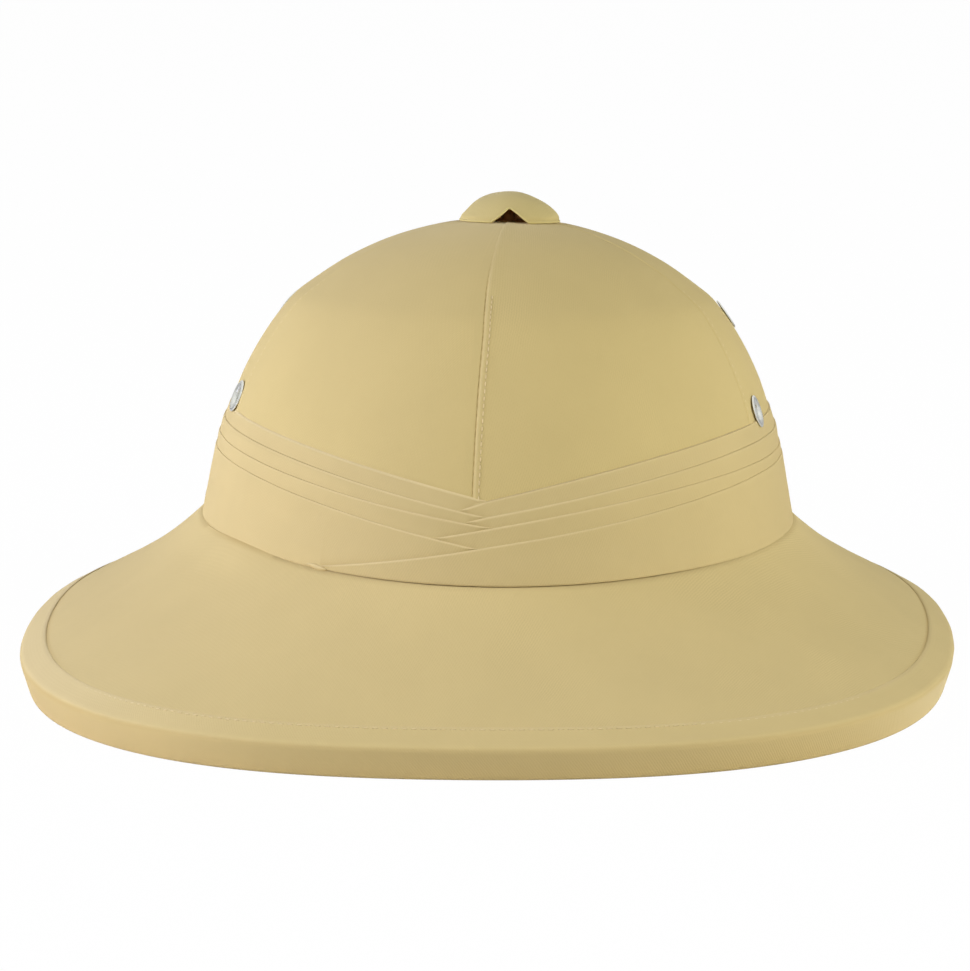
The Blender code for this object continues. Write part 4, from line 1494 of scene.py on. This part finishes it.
# Name, power setting, place, size and colour of each soft light.
STUDIO_LIGHTS = (
    ("left_light", "left", (-1.5, -0.8, 0.85), (1.2, 0.9), (0.99, 0.97, 1.0)),
    ("side_light", "side", (-1.7, -0.2, 0.5), (1.2, 0.9), (0.78, 0.79, 1.0)),
    ("right_light", "right", (1.5, -0.65, 0.85), (1.2, 0.9), (1.0, 0.99, 0.96)),
    ("top_light", "top", (0.0, 0.1, 1.6), (1.4, 1.4), (1.0, 1.0, 0.85)),
    ("back_left_light", "back", (-1.3, 1.4, 0.8), (1.0, 1.0), (1.0, 1.0, 1.0)),
    ("back_right_light", "back", (1.3, 1.4, 0.8), (1.0, 1.0), (1.0, 1.0, 1.0)),
)
LIGHT_AIM = Vector((0.0, 0.0, 0.06))
# The camera's target, aside from the hat's middle and up, in metres.
CAMERA_ASIDE, CAMERA_UP = -0.001199, 0.056782
WHITE = (1.0, 1.0, 1.0, 1.0)


def studio_floor():
    """Pale floor that looks white to the camera."""
    select_only()
    bpy.ops.mesh.primitive_plane_add(size=24.0, location=(0.0, 0.0, 0.0))
    floor = bpy.context.object
    floor.name = "studio_floor"
    material, tree = new_material("pale_floor")
    grain = add_noise(tree, object_place(tree), 3.0)
    feed_shader(tree, {"Base Color": blend(tree, "MIX", grain, rgba((0.93,) * 3),
                                           rgba((0.96,) * 3)),
                       "Roughness": 0.9, "Specular IOR Level": 0.1})
    bright = add_node(tree, "ShaderNodeEmission", {"Color": WHITE})
    seen = add_node(tree, "ShaderNodeLightPath", None, "Is Camera Ray")
    lit = add_node(tree, "ShaderNodeMixShader", {
        0: seen * 0.985, 1: Wire(tree.nodes["Principled BSDF"].outputs[0]), 2: bright})
    link(lit, tree.nodes["Material Output"].inputs["Surface"])
    floor.data.materials.append(material)


def studio_world(strength):
    """Even light from all round, in front of a surrounding that looks white."""
    world = bpy.data.worlds.new("studio_world")
    world.use_nodes = True
    tree = world.node_tree
    tree.nodes.clear()
    seen, glossy = (add_node(tree, "ShaderNodeLightPath", None, kind)
                    for kind in ("Is Camera Ray", "Is Glossy Ray"))
    towards = add_node(tree, "ShaderNodeTexCoord", None, "Generated")
    rise = add_node(tree, "ShaderNodeSeparateXYZ", {0: towards}, "Z").spread(-0.1, 0.6, 0.7)
    light, shown = (add_node(tree, "ShaderNodeBackground", {"Color": colour, "Strength": power})
                    for colour, power in ((rgba((1.0, 0.995, 0.985)), strength), (WHITE, 1.0)))
    share = seen.math("MAXIMUM", glossy * rise)
    mixed = add_node(tree, "ShaderNodeMixShader", {0: share, 1: light, 2: shown})
    link(mixed, tree.nodes.new("ShaderNodeOutputWorld").inputs["Surface"])
    return world


def panel_light(name, place, size, power, colour):
    """Soft rectangular light, aimed at the hat, that shows in no reflection."""
    data = bpy.data.lights.new(name, "AREA")
    data.shape = "RECTANGLE"
    data.size, data.size_y = size
    data.energy, data.color = power, colour
    light = new_object(name, data)
    light.visible_glossy = False
    light.location = place
    light.rotation_euler = (LIGHT_AIM - Vector(place)).to_track_quat("-Z", "Y").to_euler()


class HELMET_OT_studio(bpy.types.Operator):
    """Pale floor, soft light and the camera"""
    bl_idname = "helmet.studio"
    bl_label = "Studio"

    def execute(self, context):
        scene, studio = context.scene, context.scene.helmet_studio
        studio_floor()
        scene.world = studio_world(studio.sky)
        scene.view_settings.view_transform = "Standard"
        scene.view_settings.look = "None"
        for name, power, place, size, colour in STUDIO_LIGHTS:
            panel_light(name, place, size, getattr(studio, power), colour)

        a, e = studio.azimuth, studio.elevation
        back = Vector((math.sin(a) * math.cos(e), -math.cos(a) * math.cos(e), math.sin(e)))
        data = bpy.data.cameras.new("photo_camera")
        data.sensor_fit, data.sensor_height = "VERTICAL", 36.0
        data.lens = studio.lens
        data.clip_start, data.clip_end = 0.05, 60.0
        camera = new_object("photo_camera", data)
        target = Vector((CAMERA_ASIDE * math.cos(a), CAMERA_ASIDE * math.sin(a), CAMERA_UP))
        camera.location = target + back * studio.distance
        camera.rotation_mode = "QUATERNION"
        camera.rotation_quaternion = (-back).to_track_quat("-Z", "Y")
        scene.camera = camera
        return {"FINISHED"}


# ---------------------------------------------------------------- panel and registration


STEPS = (HELMET_OT_studio, HELMET_OT_crown_cover, HELMET_OT_crown_stitching,
         HELMET_OT_brim_cover, HELMET_OT_rim_binding, HELMET_OT_rim_stitching,
         HELMET_OT_pleated_band, HELMET_OT_vent_cap, HELMET_OT_stud_finish, HELMET_OT_eyelets)
SETTINGS = (("helmet_cloth", HelmetCloth), ("helmet_sewing", HelmetSewing),
            ("helmet_metal", HelmetMetal), ("helmet_studio", HelmetStudio))


class HELMET_PT_steps(bpy.types.Panel):
    """Steps and settings of the pith helmet"""
    bl_idname = "HELMET_PT_steps"
    bl_label = "Pith Helmet"
    bl_space_type = "VIEW_3D"
    bl_region_type = "UI"
    bl_category = "Pith Helmet"

    def draw(self, context):
        layout = self.layout
        for step in STEPS:
            layout.operator(step.bl_idname)
        for name, group in SETTINGS:
            box = layout.box()
            for field in group.__annotations__:
                box.prop(getattr(context.scene, name), field)


CLASSES = [*(group for name, group in SETTINGS), *STEPS, HELMET_PT_steps]


def register():
    for kind in CLASSES:
        bpy.utils.register_class(kind)
    for name, group in SETTINGS:
        setattr(bpy.types.Scene, name, bpy.props.PointerProperty(type=group))


def unregister():
    for name, group in SETTINGS:
        delattr(bpy.types.Scene, name)
    for kind in reversed(CLASSES):
        bpy.utils.unregister_class(kind)


def main():
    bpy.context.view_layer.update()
    register()
    for step in STEPS:
        group, name = step.bl_idname.split(".")
        getattr(getattr(bpy.ops, group), name)()


if __name__ == "__main__":
    main()
